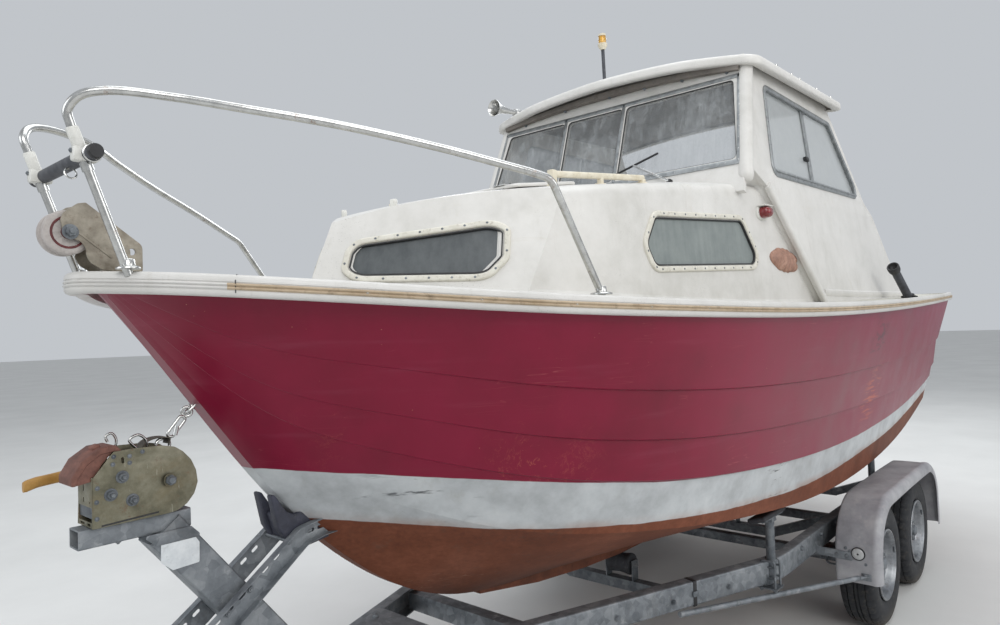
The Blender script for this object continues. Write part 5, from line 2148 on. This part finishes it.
# ================================================================ running gear
def make_running():
    A = Piece("axles_and_springs")
    for x in (0.0, -.712):
        A.put(box_at(V(x - .025, -.770, .272), V(x + .025, .770, .322), .005, 3), M["galv_dark"])
        A.both(tube([V(x, .765, .297), V(x, .845, .297)], .024, 20), M["galv_dark"])
        A.both(tube([V(x, .845, .297), V(x, .906, .297)], .0165, 20), M["steel_worn"])
        A.both(lathe([(.0, 0), (.118, 0), (.122, .004), (.122, .012), (.112, .020), (.060, .026), (.040, .040), (.0, .040)], V(x, .796, .297), (0, 1, 0), 44), M["galv_rusty"])
        # leaf pack
        for k, (half, dz) in enumerate(((.300, 0.0), (.255, -.0075), (.190, -.015), (.120, -.0225))):
            def arc(sx, dz=dz):
                return .340 + .045 * (sx / .30) ** 2 + dz
            pts = [V(x - half + 2 * half * j / 20, .745, arc(-half + 2 * half * j / 20)) for j in range(21)]
            A.both(strip(pts, [(-.022, -.0033), (.022, -.0033), (.022, .0033), (-.022, .0033)], (0, 1, 0), (0, 0, 1)), M["galv_rusty"])
        for sx in (-.300, .300):
            A.both(lathe([(.007, -.024), (.016, -.024), (.016, .024), (.007, .024)], V(x + sx, .745, .392), (0, 1, 0), 20), M["galv_rusty"])
            A.both(box_at(V(x + sx - .018, .7165, .372), V(x + sx + .018, .7205, .420), .001), M["galv_dark"])
            A.both(box_at(V(x + sx - .018, .7695, .372), V(x + sx + .018, .7735, .420), .001), M["galv_dark"])
            A.both(bolt(V(x + sx, .7735, .392), (0, 1, 0), .012), M["galv_rusty"])
        for sx in (-.035, .035):
            pts = fillet([V(x + sx, .712, .352), V(x + sx, .712, .262), V(x + sx, .778, .262), V(x + sx, .778, .352)], .02, 15.0)
            A.both(tube(pts, .0055, 10), M["galv_rusty"])
        A.both(box_at(V(x - .055, .700, .340), V(x + .055, .790, .348), .002), M["galv_dark"])
    A.done(replaces=["axles_springs"], slot="galvanised", auto=40)

    # mudguards
    G = Piece("guards")

    def ln(n=10):
        pts = [(.360, .300), (.360, .36), (.360, .42)]
        for k in range(1, n + 1):
            t = math.radians(90 * k / n)
            pts.append((.080 + .280 * math.cos(t), .420 + .252 * math.sin(t)))
        for k in range(1, 12):
            pts.append((.080 - .88 * k / 12, .672 + .003 * math.sin(math.pi * k / 12)))
        for k in range(n + 1):
            t = math.radians(90 * k / n)
            pts.append((-.800 - .275 * math.sin(t), .430 + .242 * math.cos(t)))
        pts += [(-1.080, .36), (-1.085, .272)]
        return pts
    q = ln()
    m = len(q)
    path, up = [], []
    for i in range(m):
        a, b = Vector(q[max(i - 1, 0)]), Vector(q[min(i + 1, m - 1)])
        t = (b - a).normalized()
        nn = Vector((t.y, -t.x))
        if nn.dot(Vector(q[i]) - Vector((-.36, .30))) < 0:
            nn = -nn
        path.append(V(q[i][0], 0, q[i][1]))
        up.append(Vector((nn.x, 0, nn.y)))
    o = [(.850, -.018), (.851, -.006), (.856, -.001), (.864, .0), (.90, .0015), (.95, .002), (1.000, .0015), (1.012, .0045), (1.022, .0055), (1.032, .003), (1.040, -.004), (1.0465, -.014), (1.0495, -.026), (1.050, -.044), (1.0475, -.050)]
    inn = [(a - .0028 if b < -.012 and a > 1.0 else (a if a > .86 else a + .0028), b - .0030 if b > -.012 else b + (.0 if a > 1.0 else 0)) for a, b in reversed(o)]
    prof = o + inn
    G.both(strip(path, prof, (0, 1, 0), lambda i: up[i]), M["guard"])
    # stay tube with a flattened, bolted end
    a, b = V(1.400, .571, .400), V(.420, .966, .343)
    d = (b - a).normalized()
    G.both(tube([a, a + d * .3, b], .0115, 16), M["galv"])
    e = V(.366, .988, .339)
    rows = []
    for k in range(9):
        t = k / 8
        c = b.lerp(e, t)
        ww, hh = .0115 + (.0175 - .0115) * t, .0115 + (.0035 - .0115) * min(1, t * 1.6)
        rows.append([c + Vector((0, math.cos(an) * ww, 0)) + Vector((0, 0, math.sin(an) * hh)) for an in [2 * math.pi * j / 16 for j in range(16)]])
    s = grid(9, 16, lambda i, j: rows[i][j], wrap_v=True)
    s = (s[0], s[1] + [tuple(range(8 * 16, 9 * 16))])
    G.both(s, M["galv"])
    G.both(bolt(V(.378, .986, .3425), (0, 0, 1), .009), M["galv_rusty"])
    G.both(box_at(V(.3605, .965, .318), V(.3655, 1.008, .350), .001), M["galv"])
    # flat bracket from the rail to the guard's front
    G.both(sheet_plate([round2([(.705, .404), (.930, .400), (.930, .438), (.705, .446)], .006), circle2(.74, .425, .005, 12)], .004, lambda y, z, w: V(.3615 + w, y, z), .0008), M["galv"])
    for y, z in ((.862, .421), (.905, .420)):
        G.both(bolt(V(.3655, y, z), (1, 0, 0), .009), M["galv_rusty"])
    G.both(box_at(V(.330, .768, .404), V(.366, .774, .446), .001), M["galv"])
    for y, z in ((.918, .443), (.985, .392), (.900, .455)):
        G.both(joined(disc(.0075, .0012, V(.3605, y, z), (1, 0, 0), 14, .0003), dome_screw(V(.3615, y, z), (1, 0, 0), .005, .0026)), M["galv_rusty"])
    for x in (-.356, -1.050):
        zt = .664 if x > -1 else .50
        G.both(box_at(V(x - .020, .770, .452), V(x + .020, .862, .457), .001), M["galv_dark"])
        G.both(box_at(V(x - .020, .853, .452), V(x + .020, .858, zt), .001), M["galv_dark"])
        G.both(bolt(V(x, .795, .457), (0, 0, 1), .010), M["galv_rusty"])
    G.done(replaces=["mudguards"], slot="dark_plastic", auto=42)
    R = Piece("round_reflectors")
    rings = [(.0, .0), (.030, .0), (.0305, .002), (.0305, .0065), (.0290, .0085), (.0265, .0085), (.0262, .0075)]
    R.both(lathe(rings, V(.3605, .955, .437), (1, 0, 0), 40), M["dark"])
    R.both(lathe([(.0262, .0075), (.0240, .0098), (.012, .0112), (.0045, .0113)], V(.3605, .955, .437), (1, 0, 0), 40), M["lamp"])
    R.both(lathe([(.0045, .0100), (.0045, .0122), (.003, .0132), (.0, .0134)], V(.3605, .955, .437), (1, 0, 0), 16), M["dark"])
    R.done(replaces=["reflectors"], slot="reflector_white", auto=40)


make_running()


def make_wheels():
    R0, H = .297, .0825
    base = [(-.060, .170), (-.066, .176), (-.072, .186), (-.077, .200), (-.0805, .218), (-.0820, .236), (-.0805, .252), (-.0775, .264), (-.0790, .2665), (-.0770, .272), (-.0730, .280), (-.0670, .2878), (-.0600, .2925)]
    tread = []
    for y, g in ((-.052, 0), (-.044, 0), (-.0425, 1), (-.0385, 1), (-.037, 0), (-.024, 0), (-.0125, 0), (-.011, 1), (-.0065, 1), (-.005, 0)):
        tread.append((y, .2965 - .5 * y * y - (.0075 if g else 0)))
    half = base + tread
    prof = half + [(-y, r) for y, r in reversed(half)]
    NA = 168
    m = len(prof)

    def tyre_pt(i, j, c):
        y, r = prof[i]
        t = 2 * math.pi * j / NA
        if r > .284 and abs(y) > .040:
            if (j + (2 if y > 0 else 0)) % 4 == 0:
                r -= .0065
        elif r > .290 and .012 < abs(y) < .036:
            if (j + 1) % 6 == 0:
                r -= .004
        return c + Vector((r * math.cos(t), y, r * math.sin(t)))
    # rim, turned once and drilled
    pr = [(.166, -.0800), (.1725, -.0790), (.1725, -.0730), (.1640, -.0690), (.1600, -.0600), (.1590, -.0480), (.1480, -.0400), (.1450, -.0200), (.1450, .0150), (.1580, .0300), (.1600, .0560), (.1640, .0640), (.1725, .0690), (.1740, .0760), (.1715, .0795), (.1670, .0800), (.1650, .0740), (.1600, .0690), (.1565, .0610), (.1545, .0460), (.1500, .0360), (.1400, .0330), (.1330, .0270), (.1220, .0250), (.1050, .0330), (.0900, .0430), (.0780, .0465), (.0600, .0440), (.0560, .0400), (.0340, .0400), (.0335, .0340), (.0560, .0350), (.0780, .0415), (.0900, .0380), (.1050, .0280), (.1220, .0200), (.1400, .0240), (.1400, -.0200), (.1440, -.0440), (.1550, -.0520), (.1560, -.0620), (.1600, -.0740)]
    n = 64
    v, f = [], []
    for k, (r, h) in enumerate(pr):
        for j in range(n):
            t = 2 * math.pi * j / n
            v.append(Vector((r * math.cos(t), h, r * math.sin(t))))
    for k in range(len(pr)):
        k2 = (k + 1) % len(pr)
        for j in range(n):
            j2 = (j + 1) % n
            f.append((k * n + j, k * n + j2, k2 * n + j2, k2 * n + j))
    cutters = []
    for k in range(8):
        a = 2 * math.pi * (k + .5) / 8
        u, w = Vector((math.cos(a), 0, math.sin(a))), Vector((-math.sin(a), 0, math.cos(a)))
        o = slot2(0, 0, .034, .018, math.pi / 2, 7)
        cutters.append(prism(o, lambda p, q, d, u=u, w=w: u * (.121 + p) + w * q + Vector((0, d, 0)), -.02, .07))
    rim = cut((v, f), cutters)
    for nm, x in (("front", 0.0), ("rear", -.712)):
        for side, sg in (("port", 1), ("starboard", -1)):
            c = V(x, sg * .9175, R0)
            T = Piece(f"tyre_tread_{nm}_{side}")
            T.put(grid(m, NA, lambda i, j: tyre_pt(i, j, c), wrap_v=True), M["tyre"])
            body = f"wheel_{nm}_{side}"
            T.done(body=body, replaces=[f"tyre_{nm}_{side}"], slot="tyre_rubber", auto=44)
            W = Piece(f"rim_detail_{nm}_{side}")
            turn = Matrix.Translation(c) @ Matrix.Rotation(.21 * (1 if nm == "front" else 2.3) + (0 if sg > 0 else .4), 4, "Y")
            flip = Matrix.Identity(4) if sg > 0 else Matrix.Diagonal((1, -1, 1, 1))
            W.put(moved(rim, turn @ flip), M["rim"])
            a0 = turn @ flip
            for k in range(5):
                a = 2 * math.pi * k / 5
                p = Vector((.050 * math.cos(a), .040, .050 * math.sin(a)))
                W.put(moved(hexnut(.019, .014, p, (0, 1, 0), a), a0), M["galv_rusty"])
            W.put(moved(lathe([(.0, .034), (.031, .034), (.031, .056), (.0285, .066), (.020, .072), (.0, .074)], (0, 0, 0), (0, 1, 0), 36), a0), M["galv"])
            W.put(moved(tube([Vector((.150, .030, 0)), Vector((.146, .052, 0)), Vector((.145, .058, 0))], [.0052, .0048, .0040], 10), a0), M["dark"])
            W.put(moved(block((.014, .006, .030), .002), a0 @ Matrix.Translation((-.163, .074, .0))), M["galv_dark"])
            W.done(body=body, replaces=[f"rim_{nm}_{side}"], slot="rim_silver", auto=36)


make_wheels()


# ================================================================ CAD nodes that keep their own mesh
for _n, _k in {"companion_bulkhead": "wood", "companion_door": "wood", "engine_box": "gel_in", "engine_box_lid": "gel_in", "engine_block": "engine", "helm_console": "gel_in", "helm_wheel": "dark", "helm_seat": "gel_in", "seat_cushions": "vinyl", "bow_eye_hook": "galv_rusty", "propeller": "bronze", "rudder": "antifoul", "trailer_frame": "galv", "trailer_crossmembers": "galv_dark", "keel_rollers": "rubber", "drawbar": "galv", "winch_post": "galv", "bow_snubber": "snub", "winch_frame": "zinc", "winch_drum": "zinc", "winch_crank": "zinc", "blank_plate": "plate", "side_supports": "galv_dark", "axles_springs": "galv_dark", "mudguards": "guard", "reflectors": "lamp", "jockey_clamp": "galv", "jockey_stem": "galv", "jockey_fork": "galv", "jockey_wheel": "rubber"}.items():
    paint(_n, _k)
for _a in ("front", "rear"):
    for _b in ("port", "starboard"):
        paint(f"tyre_{_a}_{_b}", "tyre")
        paint(f"rim_{_a}_{_b}", "rim")


# ================================================================ helm, cushions, inside
def swollen(ob, buttons, board, up, cap=.010):
    """stuffing pushes the cover out while the buttons hold it in; the result is kept as the mesh"""
    sc = bpy.context.scene
    q = ob.modifiers.new("even", "REMESH")
    q.mode, q.voxel_size = "VOXEL", .006
    me = bpy.data.meshes.new_from_object(ob.evaluated_get(bpy.context.evaluated_depsgraph_get()))
    ob.modifiers.clear()
    ob.data = me
    rest = [v.co.copy() for v in me.vertices]
    held = ob.vertex_groups.new(name="held")
    for v in me.vertices:
        near = min((v.co - b).length for b in buttons)
        if near < .012:
            held.add([v.index], 1.0, "REPLACE")
            v.co -= up * .007
        elif near < .034:
            v.co -= up * .007 * ((.034 - near) / .022) ** 2
    c = ob.modifiers.new("stuffing", "CLOTH")
    c.settings.quality = 5
    c.settings.mass = .3
    c.settings.use_pressure = True
    c.settings.uniform_pressure_force = 4.0
    c.settings.effector_weights.gravity = 0.0
    c.settings.vertex_group_mass = "held"
    c.collision_settings.use_collision = False
    for k in range(1, 21):
        sc.frame_set(k)
    out = bpy.data.meshes.new_from_object(ob.evaluated_get(bpy.context.evaluated_depsgraph_get()))
    ob.modifiers.clear()
    for v, r in zip(out.vertices, rest):
        d = v.co - r
        if d.length > cap:
            v.co = r + d * (cap / d.length)
        low = (v.co - board).dot(up)
        if low < .0006:
            v.co += up * (.0006 - low)
    out.polygons.foreach_set("use_smooth", [True] * len(out.polygons))
    ob.data = out
    ob.vertex_groups.clear()
    sc.frame_set(1)
    e = ob.modifiers.new("fine", "SUBSURF")
    e.levels = e.render_levels = 1


def cushion(name, lo, hi, axis, up):
    """a stuffed pad; axis is its thin direction and up points to the side that is sat on"""
    lo, hi = Vector(lo), Vector(hi)
    c, h = (lo + hi) / 2, (hi - lo) / 2
    ax = [i for i in range(3) if i != axis]
    size = [2 * h[i] - (.005 if i == axis == 2 else .020) for i in range(3)]
    P = Piece(name)
    P.put(moved(block(tuple(size), .020, 4), Matrix.Translation(V(*c))), M["vinyl"])
    ob = P.done(replaces=["seat_cushions"], slot="seat_vinyl", auto=60)
    spots = []
    for a in (-.4, .4):
        for b in (-.4, .4):
            p = [0, 0, 0]
            p[ax[0]], p[ax[1]], p[axis] = a * h[ax[0]], b * h[ax[1]], up * size[axis] / 2
            spots.append(V(*(c + Vector(p))))
    n = Vector([up if i == axis else 0 for i in range(3)])
    swollen(ob, spots, V(*(lo if up > 0 else hi)), n)
    T = Piece(name + "_piping_and_buttons")
    for sg in (1, -1):
        o = []
        r = .034
        a, b = size[ax[0]] / 2 + .001, size[ax[1]] / 2 + .001
        for (sx, sy), t0 in zip(((1, 1), (-1, 1), (-1, -1), (1, -1)), (0, 90, 180, 270)):
            for k in range(7):
                t = math.radians(t0 + 15 * k)
                p = [0, 0, 0]
                p[ax[0]], p[ax[1]], p[axis] = sx * (a - r) + r * math.cos(t), sy * (b - r) + r * math.sin(t), sg * (size[axis] / 2 - .006)
                o.append(V(*(c + Vector(p))))
        T.put(tube(dense(o, .03, closed=True), .0040, 8, closed=True), M["dark"])
    for p in spots:
        T.put(lathe([(.0, .0035), (.006, .0028), (.0095, .0), (.0100, -.003), (.0080, -.006)], p - n * .006, n, 18), M["vinyl"])
    T.done(slot="seat_vinyl", auto=50)


def make_inside():
    cushion("seat_pad", (-.128, -.608, 1.2902), (.258, -.212, 1.349), 2, 1)
    cushion("back_pad", (-.1848, -.604, 1.302), (-.131, -.216, 1.702), 0, 1)
    for nd in ("helm_seat", "helm_console", "engine_box", "engine_box_lid", "companion_door", "companion_bulkhead", "rudder", "jockey_clamp", "jockey_stem", "jockey_fork"):
        soften(nd, .008 if nd in ("helm_console", "engine_box", "engine_box_lid") else .002)
    # steering wheel
    t = math.radians(30.0)
    n0 = Vector((-math.cos(t), 0, math.sin(t)))
    c = V(.470, -.400, 1.620)
    u, w = Vector((0, 1, 0)), n0.cross(Vector((0, 1, 0))).normalized()
    W = Piece("steering_wheel")
    W.put(torus(c, n0, .166, .0135, 72, 16), M["dark"])
    for k in range(3):
        a = math.radians(90 + 120 * k)
        d = u * math.cos(a) + w * math.sin(a)
        pts = [c - n0 * .024 + d * .022, c - n0 * .022 + d * .07, c - n0 * .010 + d * .13, c - n0 * .002 + d * .160]
        W.put(strip(pts, round2([(-.011, -.003), (.011, -.003), (.011, .003), (-.011, .003)], .002), n0.cross(d), n0), M["steel"])
    W.put(lathe([(.0, -.086), (.020, -.086), (.022, -.080), (.022, -.030), (.034, -.026), (.036, -.016), (.030, -.006), (.016, -.001), (.0, .0)], c, n0, 32), M["dark"])
    W.done(body="helm_wheel_body", replaces=["helm_wheel"], slot="dark_plastic", auto=50)
    # gauges and switches on the console's sloping face
    G = Piece("console_details")
    for y, dz, r in ((-.655, 1.60, .026), (-.655, 1.52, .026), (-.335, 1.60, .030)):
        h = hit("helm_console", V(.20, y, dz), Vector((1, 0, 0)))
        if h[0]:
            p, nn = h[0], h[1]
            G.put(lathe([(r, -.002), (r, .005), (r * .86, .0075), (r * .82, .004)], p, nn, 30), M["steel"])
            G.put(lathe([(r * .84, .0045), (.0, .005)], p, nn, 30), M["dark"])
            G.put(bar(p + nn * .0056, p + nn * .0056 + Vector((0, .3, .9)).normalized() * r * .65, .0016, .001, up=nn, r=.0003), M["lamp"])
    for k in range(4):
        h = hit("helm_console", V(.20, -.36, 1.50 - .045 * k), Vector((1, 0, 0)))
        if h[0]:
            p, nn = h[0], h[1]
            G.put(lathe([(.0085, -.001), (.0085, .003), (.004, .005), (.003, .016), (.0, .018)], p, nn, 16), M["steel"])
    h = hit("helm_console", V(.20, -.325, 1.40), Vector((1, 0, 0)))
    if h[0]:
        p, nn = h[0], h[1]
        G.put(moved(block((.020, .050, .090), .006), Matrix.Translation(p + nn * .008)), M["dark"])
        G.put(tube([p + nn * .016, p + nn * .050 + Vector((0, 0, .05)), p + nn * .060 + Vector((0, 0, .085))], .006, 12), M["steel"])
        G.put(lathe([(.0, .017), (.012, .013), (.0165, .0), (.012, -.013), (.0, -.017)], p + nn * .061 + Vector((0, 0, .092)), (0, 0, 1), 20), M["dark"])
    G.done(slot="dark_plastic", auto=45)
    # lid handle and latches
    L = Piece("lid_handles")
    for x in (-.62, -1.28):
        L.put(tube(fillet([V(x, -.06, 1.331), V(x, -.06, 1.345), V(x, .06, 1.345), V(x, .06, 1.331)], .008, 15.0), .0045, 10), M["steel"])
        for sg in (1, -1):
            L.put(disc(.013, .003, V(x, sg * .06, 1.3332), (0, 0, 1), 18, .0006), M["steel"])
    L.done(body="engine_box_lid_body", slot="stainless", auto=40)
    D = Piece("door_handle_and_trim")
    fx = .714
    h = hit("companion_door", V(.40, 0, 1.3), Vector((1, 0, 0)))
    if h[0]:
        fx = h[0].x + OX
    for z0, z1 in ((.960, 1.30), (1.36, 1.92)):
        o = round2([(-.20, z0), (.20, z0), (.20, z1), (-.20, z1)], .02)
        i = round2([(-.185, z0 + .015), (.185, z0 + .015), (.185, z1 - .015), (-.185, z1 - .015)], .012)
        D.put(sheet_plate([o, i], .006, lambda a, b, wd: V(fx - wd, a, b), .0015), M["wood"])
    for z in (1.415, 1.505):
        D.put(disc(.012, .003, V(fx - .0005, -.225, z), (-1, 0, 0), 18, .0006), M["steel"])
    D.put(tube([V(fx - .034, -.225, 1.400), V(fx - .034, -.225, 1.520)], .0065, 14), M["steel"])
    D.done(body="companion_door_body", slot="wood", auto=40)


make_inside()


def make_propeller():
    P = Piece("screw_propeller")
    t = math.radians(8.0)
    ax = Vector((math.cos(t), 0, math.sin(t)))
    c = V(-1.935, 0, .553)
    P.put(lathe([(.0, -.086), (.010, -.084), (.018, -.070), (.026, -.045), (.0275, -.040), (.0275, .045), (.024, .049), (.0138, .050), (.0138, .395), (.0, .395)], c, ax, 36), M["bronze"])
    y = Vector((0, 1, 0))
    z = ax.cross(y).normalized()
    for k in range(3):
        a0 = math.radians(120 * k + 90)
        nr, nc = 14, 13

        def fn(i, j, side, a0=a0):
            s, q = i / (nr - 1), -1 + 2 * j / (nc - 1)
            r = .020 + .111 * s
            half = .020 + .036 * math.sin(math.pi * min(1, .18 + s * .86)) ** .8
            if s > .75:
                half *= math.sqrt(max(0.0, 1 - ((s - .75) / .2502) ** 2)) * .98 + .02
            pitch = math.atan2(.30 / (2 * math.pi), r)
            arc = q * half
            th = .0030 * (1 - .55 * s) * (1 - q * q) ** .5 * side
            ang = a0 + (arc * math.cos(pitch)) / r
            rad = y * math.cos(ang) + z * math.sin(ang)
            tan = z * math.cos(ang) - y * math.sin(ang)
            nn = ax * math.cos(pitch) - tan * math.sin(pitch)
            return c + rad * r + ax * (arc * math.sin(pitch)) + nn * th
        for side in (1, -1):
            g = grid(nr, nc, lambda i, j, side=side: fn(i, j, side))
            P.put(g if side > 0 else (g[0], [tuple(reversed(f)) for f in g[1]]), M["bronze"])
    P.done(body="propeller_body", replaces=["propeller"], slot="bronze", auto=50)


def make_jockey():
    J = Piece("jockey_tyre")
    c = V(3.472, -.125, .100)
    J.put(lathe([(.008, -.027), (.030, -.0285), (.032, -.024), (.058, -.022), (.062, -.027), (.082, -.0290), (.093, -.027), (.0985, -.019), (.0998, -.008), (.0998, .008), (.0985, .019), (.093, .027), (.082, .0290), (.062, .027), (.058, .022), (.032, .024), (.030, .0285), (.008, .027)], c, (0, 1, 0), 56), M["rubber"])
    J.done(body="jockey_wheel_body", replaces=["jockey_wheel"], slot="black_rubber", auto=45)
    H = Piece("jockey_hub_faces")
    for sg in (1, -1):
        H.put(lathe([(.008, .0275), (.018, .0295), (.029, .0295), (.031, .0245), (.057, .0225), (.0585, .024), (.0600, .024)], c, (0, sg, 0), 44), M["galv"])
    H.done(body="jockey_wheel_body", slot="galvanised", auto=40)


make_jockey()
make_propeller()


# coupling head: handle, pin and bolts
def make_coupling():
    P = Piece("coupling_handle")
    pts = [(3.965, .5005), (4.048, .5005), (4.048, .526), (3.985, .5285), (3.966, .520)]
    P.put(sheet_plate([round2(pts, .004)], .016, xz(-.008), .0015), M["galv_dark"])
    for x in (3.90, 3.94):
        for sg in (1, -1):
            P.put(bolt(V(x, sg * .0335, .461), (0, sg, 0), .010), M["galv_rusty"])
    for x in (2.38, 3.05, 3.42):
        P.both(bolt(V(x, .0405, .461), (0, 1, 0), .010), M["galv_rusty"])
    P.done(slot="galvanised", auto=40)


make_coupling()


# ================================================================ end
SIZE = {"cad": [list(CAD_BOX[0]), list(CAD_BOX[1])]}
_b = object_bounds()
SIZE["visual"] = [list(_b[0]), list(_b[1])]
SIZE["grown_mm"] = [[round((SIZE["visual"][k][i] - SIZE["cad"][k][i]) * 1000, 1) for i in range(3)] for k in range(2)]
